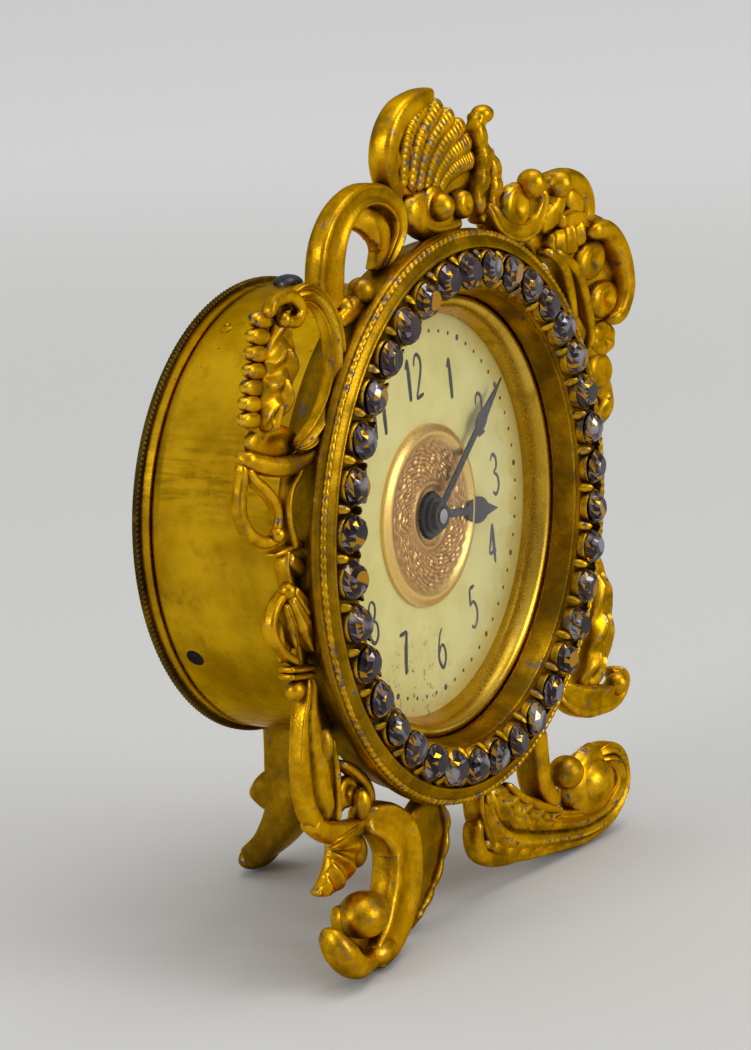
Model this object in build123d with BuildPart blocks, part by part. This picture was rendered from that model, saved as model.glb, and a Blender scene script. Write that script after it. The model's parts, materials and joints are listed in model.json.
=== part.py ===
from build123d import *
import os
from math import acos, atan2, cos, degrees, radians, sin, sqrt

# A small gilt drum clock. The clock's axis runs along Y, the dial faces -Y and Z points up.
# The origin is on the table, under the middle of the clock. All sizes are in millimetres.
# Depths are measured backwards from the plane of the stones' girdles.

# Stance
drum_r = 27.9
leg_length = 13.7
side_reach = 9.2
front_reach = 3.0
back_reach = 37.0

# Stone ring
stone_count = 36
stone_turn = 2.5
stone_circle_over = 2.1
stone_gap = 1.03
stone_girdle = 0.2
stone_crown = 1.1
stone_pavilion = 1.0
stone_table_r = 1.2
stone_culet_r = 0.3
setting_play = 0.05
setting_wall = 0.25
setting_t = 0.5
claw_width = 0.8
claw_rise = 0.5

# Frame ring
ring_margin = 4.8
ring_front = 0.6
ring_bevel_depth = 1.8
ring_edge_depth = 3.6
ring_cove = 2.6
ring_cove_depth = 6.4
ring_back = 9.3
ring_neck_wall = 2.6
lip_overlap = 1.0
lip_t = 0.6
rope_inset = 0.65
rope_wire_r = 0.5
rope_depth = 1.4

# Ornament on the left. A place is an angle and a distance out from the ring's edge.
leaf_front = 3.2
leaf_t = 3.0
scroll_place = (119.7, 2.7)
scroll_r = 7.6
scroll_width = 3.8
scroll_sweep = 215.0
scroll_volute_place = (108.0, 1.8)
scroll_bead_place = (121.0, 0.8)
big_loop_place = (146.0, 5.0)
big_loop_r = 8.9
loop_slot_place = (146.5, 1.9)
loop_slot_width = 4.6
loop_slot_length = 11.5
loop_slot_turn = 68.0
loop_overlap = 1.8
small_loop_hole_r = 2.0
small_loop_rise = 8.0
leaf_r = 3.9
leaf_places = ((159.0, 1.6), (175.0, 1.0), (183.0, 2.2), (191.0, 1.6))
strip_place = (210.3, 4.8)
strip_length = 24.0
strip_width = 5.0
strip_turn = -86.0
pendant_place = (227.6, 11.2)
pendant_root_place = (226.0, 8.0)
pendant_length = 11.2
pendant_width = 5.4
pendant_turn = -110.0
strip_volute_place = (231.0, 3.6)
volute_r = 3.2
bead_r = 2.2

# Ornament on the right: shell, curled balls and lower bracket
shell_front = 1.0
shell_t = 3.2
shell_rise = 22.8
shell_places = ((35.5, 10.0), (41.7, 6.1), (49.0, 0.6), (58.0, 0.4), (30.0, 4.0))
shell_tail_r = 4.0
shell_tail_places = ((23.0, 4.8), (16.2, 1.1))
curl_r = 3.6
curl_places = ((62.2, 5.9), (51.6, 10.3))
curl_root_places = ((71.0, 3.0), (60.0, 2.4), (52.0, 5.0), (48.6, 11.6))
bracket_r = 3.5
bracket_places = ((-22.0, 2.4), (-29.0, 4.2), (-37.0, 5.2), (-39.0, 8.6), (-39.5, 12.0))

# Crest
crest_front = 2.8
crest_t = 3.0
crest_shoulder_place = (101.1, 13.0)
dish_depth = 1.2
dish_taper = 50.0
crest_dish_r = 7.2
shell_dish_r = 5.4
shell_dish_place = (35.0, 5.6)
crest_place = (90.0, 3.3)
crest_fan_r = 11.0
crest_lobe_r = 2.6
crest_lobes = 9
crest_skirt = 4.0

# Front legs. Heights are above the table, and reaches are from the clock's middle plane.
leg_front = 0.6
leg_t = 4.4
leg_inner = 5.0
leg_outer = 15.5
leg_root_wall = 0.75
leg_knee = 7.0
heel_reaches = (14.0, 10.0)
heel_heights = (0.0, 3.5)
instep_reach = 18.0
instep_height = 8.0
sole_inner = 23.0
sole_outer = 30.4
sole_height = 3.0
toe_front = -1.0
toe_t = 4.6
toe_r = 6.4
toe_reach = 28.5
toe_shifts = (0.0, 2.5)
leg_ball_reach = 25.3
leg_ball_height = 8.5

# Rear leg
rear_leg_width = 9.0
rear_pad_front = 24.5
rear_pad_back = 28.7
rear_pad_wrap = 1.4
rim_clearance = 0.6
rear_calf_depth = 31.2
rear_calf_drop = 5.6
rear_nub_depth = 32.8
rear_nub_height = 10.5
rear_ankle_depth = 30.2
rear_ankle_height = 8.3
rear_foot_height = 4.6
rear_sole_front = 33.6
rear_shin_depth = 25.6
rear_shin_drop = 8.9
rear_heel_depth = 30.3
rear_heel_height = 1.9

# Drum
drum_wall = 0.6
drum_front = 4.7
drum_length = 24.4
drum_play = 0.1
screw_depth = 26.4
screw_angles = (90.0, 210.0, 330.0)
missing_screw = 1
screw_r = 1.0
screw_head_r = 2.0
screw_head_h = 1.5
screw_length = 3.2
case_pin_angle = 120.0
case_pin_r = 0.7
case_pin_head = 0.3

# Bezel, glass and dial
bezel_inset = 2.7
bezel_t = 0.6
bezel_skirt_t = 0.5
glass_t = 0.6
glass_rise = 2.0
dial_depth = 7.8
dial_t = 0.4
dial_hole_r = 2.2
dial_disc_r = 11.2
dial_disc_t = 0.4
dial_foot_r = 0.8
dial_foot_inset = 6.9

# Hands, seen from the front, in degrees clockwise from twelve
hour_hand_angle = 97.0
minute_hand_angle = 50.0
hour_hand_length = 16.4
minute_hand_gap = 2.0
hand_t = 0.2
hand_width = 1.0
hour_hub_r = 2.7
minute_hub_r = 2.2
hour_hand_depth = 6.95
minute_hand_depth = 6.35
hand_stem = 0.8
spade_at = 0.68
spade_shoulder = 0.7
spade_stretch = 1.6
spade_flank = 0.8
hour_spade = 1.7
minute_spade = 1.1
hand_nut_r = 1.7
hand_nut_t = 0.6

# Movement
plate_t = 1.0
front_plate_depth = 12.4
plate_gap = 10.8
pillar_r = 1.6
pillar_inset = 4.4
pillar_angles = (62.0, 235.0, 316.0)
pillar_screw_r = 0.9
pillar_nut_t = 0.7
lug_width = 5.0
lug_t = 2.4
lug_length = 2.6
arbor_r = 0.7
pivot_r = 0.45
running_play = 0.05
end_play = 0.15
wheel_t = 0.6
pinion_over = 0.4
window_share = 0.2
window_circle = 0.55
nut_margin = 0.2
great_pipe_r = 2.4
great_windows = 5

# Layers of the train, behind the front plate or in front of the back plate
drive_step = 1.0
fourth_step = 2.6
hairspring_step = 3.2
second_step = 4.2
balance_step = 4.6
escape_step = 5.6
third_step = 6.8
lever_step = 6.9
roller_step = 7.9
great_step = 1.3

# Tooth shape, as shares of the module and of the tooth pitch
addendum = 0.65
dedendum = 1.25
tooth_base = 0.26
tooth_tip = 0.09

# Going train: teeth and modules
great_teeth, second_leaves, great_module = 72, 12, 0.40
second_teeth, third_leaves, second_module = 64, 8, 0.30
third_teeth, fourth_leaves, third_module = 60, 8, 0.28
fourth_teeth, escape_leaves, fourth_module = 64, 8, 0.24
escape_teeth = 15
escape_r = 4.5
escape_root = 0.72
escape_tooth = (0.08, 0.2, 0.55)
pallet_spread = 48.0
pallet_share = 0.92
pallet_pin_r = 0.25
pallet_gap = 0.2
lever_t = 0.5
fork_gap = 0.4
impulse_inset = 0.5
train_circle = 17.0
second_angle = 180.0
lever_angle = 60.0
balance_angle = 20.0
balance_r = 7.0
balance_rim = 1.0
balance_t = 0.8
roller_r = 1.5
collet_r = 0.9
hairspring_r = 4.2
hairspring_t = 0.12
hairspring_turns = 5
hairspring_play = 0.02
stud_r = 0.45

# Hands' drive: teeth and modules
drive_teeth, drive_wheel_t = 30, 0.8
minute_teeth, cannon_leaves, minute_module = 36, 12, 0.30
hour_teeth, minute_leaves = 40, 10
centre_arbor_r = 0.9
cannon_pipe_r = 1.25
hour_pipe_r = 1.8
motion_wheel_t = 0.7
minute_angle = 300.0
minute_step = 1.2
hour_step = 1.4
post_r = 0.6

# Winding
knurl_over = 0.6
knurl_depth = 0.35
knurl_count = 120
rim_gap = 0.4
rim_t = 2.1
back_face_t = 0.8
spigot_length = 1.2
cup_inset = 3.9
cup_wall = 0.6
ratchet_teeth = 40
ratchet_height = 1.0
ratchet_t = 0.8
spring_t = 0.45
spring_width = 3.0
spring_turns = 6
knob_r = 4.6
knob_t = 4.4
knob_gap = 0.4
knob_flutes = 24
knob_root = 0.93
spring_step = 2.4
cup_step = 1.0
ratchet_lean = 0.15
click_inset = 6.0
click_angle = 270.0
click_tip_angle = 248.0
click_post_r = 0.8
click_head = 1.8
click_gap = 0.3

# Radii and heights that follow from the sizes above
drum_inner_r = drum_r - drum_wall
bore_r = drum_r + drum_play
stone_circle_r = drum_r + stone_circle_over
stone_r = stone_circle_r * sin(radians(180 / stone_count)) - stone_gap / 2
channel_inner_r = stone_circle_r - stone_r - 2 * setting_play - setting_wall
channel_outer_r = stone_circle_r + stone_r + 2 * setting_play + setting_wall
ring_outer_r = stone_circle_r + ring_margin
ring_cove_r = ring_outer_r - ring_cove
ring_neck_r = bore_r + ring_neck_wall
rope_circle_r = ring_outer_r - rope_inset
lip_r = drum_r - lip_overlap
half_width = ring_outer_r + side_reach
axis_height = ring_outer_r + leg_length
drum_bottom = axis_height - drum_r
small_loop_r = (side_reach + loop_overlap) / 2
shell_lobe_r = small_loop_r
leg_root_r = channel_outer_r + leg_root_wall
bezel_inner_r = drum_inner_r - bezel_inset
dial_foot_circle = drum_r - dial_foot_inset
minute_hand_length = bezel_inner_r - minute_hand_gap
plate_r = drum_inner_r - drum_play
pillar_circle = drum_r - pillar_inset
knurl_r = drum_r + knurl_over
cup_r = drum_r - cup_inset
click_circle = cup_r - click_inset

# Depths that follow from the sizes above
plate_back = front_plate_depth + plate_t
back_plate_depth = plate_back + plate_gap
back_plate_rear = back_plate_depth + plate_t
drum_back = drum_front + drum_length
rim_front = drum_back + rim_gap
rim_back = rim_front + rim_t
knob_front = rim_back + knob_gap
knob_back = knob_front + knob_t
seat_depth = stone_girdle + stone_pavilion + setting_t
lip_back = drum_front - drum_play
stone_plane = (front_reach - back_reach) / 2
clock_axis = Axis((0, 0, axis_height), (0, 1, 0))
profile_plane = Plane.XY.offset(axis_height)

os.makedirs("parts", exist_ok=True)


def y_at(depth):
    """Y of a depth behind the stones' girdles."""
    return stone_plane + depth


def polar(radius, angle):
    """Place on a circle about the clock's axis, seen from the front, with 0 degrees at the right."""
    return radius * cos(radians(angle)), radius * sin(radians(angle))


def on_ring(angle, out):
    """Place that lies a distance out from the ring's outer edge."""
    return polar(ring_outer_r + out, angle)


def facing(depth, centre=(0, 0), turn=0):
    """Plane that faces the viewer at a depth, with X to the right and Z up, about a centre."""
    origin = (centre[0], y_at(depth), axis_height + centre[1])
    return Plane(origin, x_dir=(cos(radians(turn)), 0, sin(radians(turn))), z_dir=(0, -1, 0))


def rod(centre, front, back, radius, mode=Mode.ADD):
    """Round bar along Y from one depth to another."""
    middle = (centre[0], y_at((front + back) / 2), axis_height + centre[1])
    with Locations(middle):
        Cylinder(radius, back - front, rotation=(90, 0, 0), mode=mode)


def toothed(teeth, module, tooth_at):
    """Outline of a gear with straight-flanked teeth, one of them centred at the given angle."""
    root = module * (teeth / 2 - dedendum)
    tip = module * (teeth / 2 + addendum)
    pitch = 360 / teeth
    points = []
    for index in range(teeth):
        middle = tooth_at + index * pitch
        for radius, share in ((root, -tooth_base), (tip, -tooth_tip), (tip, tooth_tip), (root, tooth_base)):
            points.append(polar(radius, middle + share * pitch))
    return points


def arc_band(centre, radius, start, size, width):
    """Flat band of one width along an arc, with round ends."""
    with BuildSketch() as band:
        with BuildLine():
            outer = CenterArc(centre, radius + width / 2, start, size)
            inner = CenterArc(centre, radius - width / 2, start, size)
            Line(outer @ 0, inner @ 0)
            Line(outer @ 1, inner @ 1)
        make_face()
        with Locations((outer @ 0 + inner @ 0) / 2, (outer @ 1 + inner @ 1) / 2):
            Circle(width / 2)
    return band.sketch


def direction(start, end):
    """Angle of the line from one centre to another."""
    return degrees(atan2(end[1] - start[1], end[0] - start[0]))


def swing(radius_a, radius_b, distance):
    """Angle at the clock's axis between two places a distance apart."""
    return degrees(acos((radius_a**2 + radius_b**2 - distance**2) / (2 * radius_a * radius_b)))


def spacing(teeth_a, teeth_b, module):
    """Distance between the centres of a pair in mesh."""
    return module * (teeth_a + teeth_b) / 2


def gap_angle(teeth, angle):
    """Angle of a tooth such that the space beside it is centred at the given angle."""
    return angle + 180 / teeth


def save(part, label):
    """Label a finished piece and write it."""
    part.label = label
    export_step(part, f"parts/{label}.step")


# Front frame: ring moulding, ornament and the two front legs in one casting
crest_base = on_ring(*crest_place)
lobe_angles = [180 * i / (crest_lobes - 1) for i in range(crest_lobes)]
leg_sides = (-1, 1)
ring_profile = [
    (channel_inner_r, seat_depth),
    (channel_outer_r, seat_depth),
    (channel_outer_r, ring_front),
    (ring_outer_r, ring_bevel_depth),
    (ring_outer_r, ring_edge_depth),
    (ring_cove_r, ring_cove_depth),
    (ring_neck_r, ring_back),
    (bore_r, ring_back),
    (bore_r, lip_back),
    (lip_r, lip_back),
    (lip_r, lip_back - lip_t),
]


def leg_root(reach):
    """Height, from the clock's axis, at which a leg leaves the ring's underside."""
    return -sqrt(leg_root_r**2 - reach**2)


def leg_outline(side, heel_reach, heel_height, shift):
    """Outline of a leg's arm, from the ring's underside along the instep to the sole."""
    points = [
        (leg_inner, leg_root(leg_inner)),
        (leg_inner + 1, leg_knee - axis_height),
        (heel_reach, heel_height - axis_height),
        (sole_inner + shift, -axis_height),
        (sole_inner + shift + sole_height, 2 * sole_height - axis_height),
        (instep_reach, instep_height - axis_height),
        (leg_outer, leg_root(leg_outer)),
    ]
    return [(side * x, z) for x, z in points]


with BuildPart() as front_frame:
    with BuildSketch(profile_plane):
        with BuildLine():
            Polyline(*[(r, y_at(d)) for r, d in ring_profile], close=True)
        make_face()
        with Locations((rope_circle_r, y_at(rope_depth))):
            Circle(rope_wire_r)
    revolve(axis=clock_axis)
    # Left: C scroll, big looped scroll, small loop, leaf cluster, long leaf strip, pendant leaf
    with BuildSketch(facing(leaf_front)):
        add(arc_band(on_ring(*scroll_place), scroll_r, 0, scroll_sweep, scroll_width))
        volute_places = (scroll_volute_place, strip_volute_place, pendant_root_place)
        with Locations(*[on_ring(*place) for place in volute_places]):
            Circle(volute_r)
        with Locations(on_ring(*big_loop_place)):
            Circle(big_loop_r)
        with Locations(on_ring(*loop_slot_place)):
            SlotOverall(loop_slot_length, loop_slot_width, rotation=loop_slot_turn, mode=Mode.SUBTRACT)
        with Locations((small_loop_r - half_width, small_loop_rise)):
            Circle(small_loop_r)
            Circle(small_loop_hole_r, mode=Mode.SUBTRACT)
        with Locations(*[on_ring(*place) for place in leaf_places]):
            Circle(leaf_r)
        with Locations(on_ring(*strip_place)):
            SlotOverall(strip_length, strip_width, rotation=strip_turn)
        with Locations(on_ring(*pendant_place)):
            Ellipse(pendant_length / 2, pendant_width / 2, rotation=pendant_turn)
    extrude(amount=-leaf_t)
    # Right: shell of lobes, two curled balls, lower leaf bracket
    with BuildSketch(facing(shell_front)):
        with Locations((half_width - shell_lobe_r, shell_rise), *[on_ring(*place) for place in shell_places]):
            Circle(shell_lobe_r)
        with Locations(*[on_ring(*place) for place in shell_tail_places]):
            Circle(shell_tail_r)
        with Locations(*[on_ring(*place) for place in curl_places + curl_root_places]):
            Circle(curl_r)
        with Locations(*[on_ring(*place) for place in bracket_places]):
            Circle(bracket_r)
    extrude(amount=-shell_t)
    with BuildSketch(facing(shell_front, on_ring(*shell_dish_place))):
        Circle(shell_dish_r)
    extrude(amount=-dish_depth, taper=dish_taper, mode=Mode.SUBTRACT)
    # Crest: half a fan with a scalloped edge
    with BuildSketch(facing(crest_front, crest_base)):
        Circle(crest_fan_r)
        with Locations((0, crest_fan_r - crest_skirt)):
            Rectangle(2 * crest_fan_r, 2 * crest_fan_r, mode=Mode.INTERSECT)
        with Locations(*[polar(crest_fan_r, angle) for angle in lobe_angles]):
            Circle(crest_lobe_r)
        shoulder = on_ring(*crest_shoulder_place)
        with Locations((shoulder[0] - crest_base[0], shoulder[1] - crest_base[1])):
            Circle(crest_lobe_r)
    extrude(amount=-crest_t)
    with BuildSketch(facing(crest_front, (crest_base[0], crest_base[1] + crest_fan_r / 2))):
        Circle(crest_dish_r)
    extrude(amount=-dish_depth, taper=dish_taper, mode=Mode.SUBTRACT)
    # Legs: arm from the ring to the sole, then the curled toe with its flat sole
    for side, heel_reach, heel_height, shift in zip(leg_sides, heel_reaches, heel_heights, toe_shifts):
        with BuildSketch(facing(leg_front)):
            with BuildLine():
                Polyline(*leg_outline(side, heel_reach, heel_height, shift), close=True)
            make_face()
        extrude(amount=-leg_t)
        with BuildSketch(facing(toe_front)):
            with Locations((side * (toe_reach + shift), toe_r - axis_height)):
                Circle(toe_r)
            sole_middle = side * ((sole_inner + sole_outer) / 2 + shift)
            with Locations((sole_middle, sole_height / 2 - axis_height)):
                Rectangle(sole_outer - sole_inner, sole_height)
        extrude(amount=-toe_t)
    # Volute balls and beads that stand out of the relief
    ball_places = [(on_ring(*place), leaf_front) for place in (scroll_volute_place, strip_volute_place)]
    ball_places += [(on_ring(*place), shell_front) for place in curl_places]
    leg_ball_z = leg_ball_height - axis_height
    ball_places += [((side * leg_ball_reach, leg_ball_z), volute_r - front_reach) for side in leg_sides]
    for centre, depth in ball_places:
        with Locations((centre[0], y_at(depth), axis_height + centre[1])):
            Sphere(volute_r)
    for centre in (on_ring(*scroll_bead_place), crest_base):
        with Locations((centre[0], y_at(crest_front), axis_height + centre[1])):
            Sphere(bead_r)
    # Clear the stones' channel of whatever the ornament put into it
    rod((0, 0), -front_reach, seat_depth, channel_outer_r, mode=Mode.SUBTRACT)
save(front_frame.part, "front_frame")

# Claw band: flat band, a collar round each stone, an inner and an outer claw
collar_inner_r = stone_r + setting_play
collar_outer_r = collar_inner_r + setting_wall
band_front = seat_depth - setting_t
claw_circles = (
    stone_circle_r - collar_inner_r - setting_wall / 2,
    stone_circle_r + collar_inner_r + setting_wall / 2,
)
with BuildPart() as stone_settings:
    with BuildSketch(facing(band_front)):
        Circle(channel_outer_r - setting_play)
        Circle(channel_inner_r + setting_play, mode=Mode.SUBTRACT)
    extrude(amount=-setting_t)
    with BuildSketch(facing(0)):
        with PolarLocations(stone_circle_r, stone_count, start_angle=stone_turn):
            Circle(collar_outer_r)
            Circle(collar_inner_r, mode=Mode.SUBTRACT)
    extrude(amount=-band_front)
    with BuildSketch(facing(-claw_rise)):
        for claw_circle in claw_circles:
            with PolarLocations(claw_circle, stone_count, start_angle=stone_turn):
                Rectangle(setting_wall, claw_width)
    extrude(amount=-(claw_rise + band_front))
save(stone_settings.part, "stone_settings")

# Stones: eight-sided crown, girdle and pavilion, standing on the claw band
crown_taper = degrees(atan2(stone_r - stone_table_r, stone_crown))
pavilion_taper = degrees(atan2(stone_r - stone_culet_r, stone_pavilion))
with BuildPart() as stones:
    with BuildSketch(facing(0)):
        with PolarLocations(stone_circle_r, stone_count, start_angle=stone_turn):
            RegularPolygon(stone_r, 8)
    extrude(amount=stone_crown, taper=crown_taper)
    with BuildSketch(facing(0)):
        with PolarLocations(stone_circle_r, stone_count, start_angle=stone_turn):
            RegularPolygon(stone_r, 8)
    extrude(amount=-stone_girdle)
    with BuildSketch(facing(stone_girdle)):
        with PolarLocations(stone_circle_r, stone_count, start_angle=stone_turn):
            RegularPolygon(stone_r, 8)
    extrude(amount=-stone_pavilion, taper=pavilion_taper)
save(stones.part, "stones")

# Rear leg: pad shaped to the drum, waisted leg with a nub, foot that curls backwards
rim_bottom = axis_height - knurl_r - rim_clearance
leg_profile = [
    (rear_pad_front, drum_bottom + rear_pad_wrap),
    (rear_pad_back, drum_bottom + rear_pad_wrap),
    (rear_pad_back, rim_bottom),
    (rear_calf_depth, rim_bottom),
    (rear_calf_depth, drum_bottom - rear_calf_drop),
    (rear_nub_depth, rear_nub_height),
    (rear_ankle_depth, rear_ankle_height),
    (rear_sole_front, rear_foot_height),
    (back_reach - rim_clearance, rear_foot_height),
    (back_reach, rear_foot_height / 2),
    (back_reach - rim_clearance, 0),
    (rear_sole_front, 0),
    (rear_heel_depth, rear_heel_height),
    (rear_shin_depth, drum_bottom - rear_shin_drop),
    (rear_pad_front, drum_bottom - rear_calf_drop),
]
with BuildPart() as rear_leg:
    with BuildSketch(Plane.YZ):
        with BuildLine():
            Polyline(*[(y_at(d), z) for d, z in leg_profile], close=True)
        make_face()
    extrude(amount=rear_leg_width / 2, both=True)
    rod((0, 0), drum_front, drum_back, drum_r, mode=Mode.SUBTRACT)
save(rear_leg.part, "rear_leg")


def outward(angle, radius, depth):
    """Place on the drum wall whose own Z axis points straight out."""
    x, z = polar(radius, angle)
    dx, dz = polar(1, angle)
    return Plane((x, y_at(depth), axis_height + z), x_dir=(0, 1, 0), z_dir=(dx, 0, dz)).location


# Drum: open can with three screw holes and a pin hole near its back edge
with BuildPart() as drum_case:
    rod((0, 0), drum_front, drum_back, drum_r)
    rod((0, 0), drum_front, drum_back, drum_inner_r, mode=Mode.SUBTRACT)
    with Locations(*[outward(angle, drum_r, screw_depth) for angle in screw_angles]):
        Cylinder(screw_r + running_play, 4 * drum_wall, mode=Mode.SUBTRACT)
    with Locations(outward(case_pin_angle, drum_r, screw_depth)):
        Cylinder(case_pin_r, 4 * drum_wall, mode=Mode.SUBTRACT)
save(drum_case.part, "drum_case")

# Case screws: domed heads outside, shanks in the back plate's lugs
fitted_screws = [angle for index, angle in enumerate(screw_angles) if index != missing_screw]
dome_r = (screw_head_r**2 + screw_head_h**2) / (2 * screw_head_h)
with BuildPart() as case_screws:
    with Locations(*[outward(angle, drum_r, screw_depth) for angle in fitted_screws]):
        Cylinder(screw_r, screw_length, align=(Align.CENTER, Align.CENTER, Align.MAX))
    with Locations(*[outward(angle, drum_r + screw_head_h - dome_r, screw_depth) for angle in fitted_screws]):
        Sphere(dome_r)
    with Locations(*[outward(angle, drum_r, screw_depth) for angle in fitted_screws]):
        Cylinder(2 * dome_r, 2 * dome_r, align=(Align.CENTER, Align.CENTER, Align.MAX), mode=Mode.SUBTRACT)
        Cylinder(screw_r, screw_length, align=(Align.CENTER, Align.CENTER, Align.MAX))
save(case_screws.part, "case_screws")

# Steady pin riveted through the can wall
with BuildPart() as case_pin:
    with Locations(outward(case_pin_angle, drum_r + case_pin_head, screw_depth)):
        Cylinder(case_pin_r, drum_wall + 2 * case_pin_head, align=(Align.CENTER, Align.CENTER, Align.MAX))
save(case_pin.part, "case_pin")

# Bezel: front flange and a skirt that stands on the dial's edge
bezel_outer_r = drum_inner_r - running_play
skirt_inner_r = bezel_outer_r - bezel_skirt_t
bezel_back = drum_front + bezel_t
with BuildPart() as bezel:
    rod((0, 0), drum_front, dial_depth, bezel_outer_r)
    rod((0, 0), drum_front, dial_depth, bezel_inner_r, mode=Mode.SUBTRACT)
    rod((0, 0), bezel_back, dial_depth, skirt_inner_r, mode=Mode.SUBTRACT)
save(bezel.part, "bezel")

# Glass: flat edge behind the flange, then a shallow dome towards the viewer
glass_r = skirt_inner_r - setting_play
dome_edge_r = bezel_inner_r - glass_t
glass_back = bezel_back + glass_t


def dome_point(edge_depth, edge_r):
    """Point half way out on a dome that rises by the glass's rise from an edge."""
    sphere_r = (edge_r**2 + glass_rise**2) / (2 * glass_rise)
    sag = sphere_r - sqrt(sphere_r**2 - (edge_r / 2) ** 2)
    return edge_r / 2, y_at(edge_depth - glass_rise + sag)


with BuildPart() as glass:
    with BuildSketch(profile_plane):
        with BuildLine():
            front_top = (0, y_at(bezel_back - glass_rise))
            back_top = (0, y_at(glass_back - glass_rise))
            front_edge = (dome_edge_r, y_at(bezel_back))
            back_edge = (dome_edge_r - glass_t, y_at(glass_back))
            ThreePointArc(front_top, dome_point(bezel_back, front_edge[0]), front_edge)
            Polyline(front_edge, (glass_r, y_at(bezel_back)), (glass_r, y_at(glass_back)), back_edge)
            ThreePointArc(back_edge, dome_point(glass_back, back_edge[0]), back_top)
            Line(back_top, front_top)
        make_face()
    revolve(axis=clock_axis)
save(glass.part, "glass")

# Dial, its centre disc and its two feet
dial_r = drum_inner_r - drum_play
dial_back = dial_depth + dial_t
foot_places = [polar(dial_foot_circle, angle) for angle in (90, 270)]
with BuildPart() as dial:
    rod((0, 0), dial_depth, dial_back, dial_r)
    rod((0, 0), dial_depth, dial_back, dial_hole_r, mode=Mode.SUBTRACT)
save(dial.part, "dial")
with BuildPart() as dial_centre:
    rod((0, 0), dial_depth - dial_disc_t, dial_depth, dial_disc_r)
    rod((0, 0), dial_depth - dial_disc_t, dial_depth, dial_hole_r, mode=Mode.SUBTRACT)
save(dial_centre.part, "dial_centre")
with BuildPart() as dial_feet:
    for place in foot_places:
        rod(place, dial_back, plate_back - end_play, dial_foot_r)
save(dial_feet.part, "dial_feet")


def hand(label, angle, depth, length, hub_r, hole_r, spade):
    """Flat spade hand that points along its own X axis, with a round hub."""
    with BuildPart() as blade:
        with BuildSketch(facing(depth, turn=90 - angle)):
            Circle(hub_r)
            with Locations((hand_stem * length / 2, 0)):
                Rectangle(hand_stem * length, hand_width)
            with Locations((spade_at * length, 0)):
                Ellipse(spade_stretch * spade, spade)
            with BuildLine():
                shoulder = (spade_shoulder * length, spade_flank * spade)
                Polyline(shoulder, (length, 0), (shoulder[0], -shoulder[1]), close=True)
            make_face()
            Circle(hole_r, mode=Mode.SUBTRACT)
        extrude(amount=-hand_t)
    save(blade.part, label)


hour_bore_r = cannon_pipe_r + running_play
hand("hour_hand", hour_hand_angle, hour_hand_depth, hour_hand_length, hour_hub_r, hour_bore_r, hour_spade)
hand("minute_hand", minute_hand_angle, minute_hand_depth, minute_hand_length, minute_hub_r, centre_arbor_r,
     minute_spade)
with BuildPart() as hand_nut:
    rod((0, 0), minute_hand_depth - hand_nut_t, minute_hand_depth, hand_nut_r)
    rod((0, 0), minute_hand_depth - hand_nut_t, minute_hand_depth, centre_arbor_r, mode=Mode.SUBTRACT)
save(hand_nut.part, "hand_nut")

# Places of the train's arbors, all on one circle round the great wheel
second_r = spacing(great_teeth, second_leaves, great_module)
to_third = spacing(second_teeth, third_leaves, second_module)
to_fourth = spacing(third_teeth, fourth_leaves, third_module)
to_escape = spacing(fourth_teeth, escape_leaves, fourth_module)
third_angle = second_angle - swing(second_r, train_circle, to_third)
fourth_angle = third_angle - swing(train_circle, train_circle, to_fourth)
escape_angle = fourth_angle - swing(train_circle, train_circle, to_escape)
centre_at = (0, 0)
second_at = polar(second_r, second_angle)
third_at = polar(train_circle, third_angle)
fourth_at = polar(train_circle, fourth_angle)
escape_at = polar(train_circle, escape_angle)
lever_at = polar(train_circle, lever_angle)
balance_at = polar(train_circle, balance_angle)
motion_r = spacing(minute_teeth, cannon_leaves, minute_module)
hour_module = 2 * motion_r / (hour_teeth + minute_leaves)
drive_module = second_r / drive_teeth
minute_at = polar(motion_r, minute_angle)
click_at = polar(click_circle, click_angle)

# Layers of the train between the plates
drive_layer = plate_back + drive_step
friction_layer = drive_layer + drive_wheel_t + running_play
fourth_layer = plate_back + fourth_step
second_layer = plate_back + second_step
escape_layer = plate_back + escape_step
third_layer = plate_back + third_step
great_layer = back_plate_depth - great_step
hairspring_layer = plate_back + hairspring_step
balance_layer = plate_back + balance_step
lever_layer = plate_back + lever_step
roller_layer = plate_back + roller_step

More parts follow.
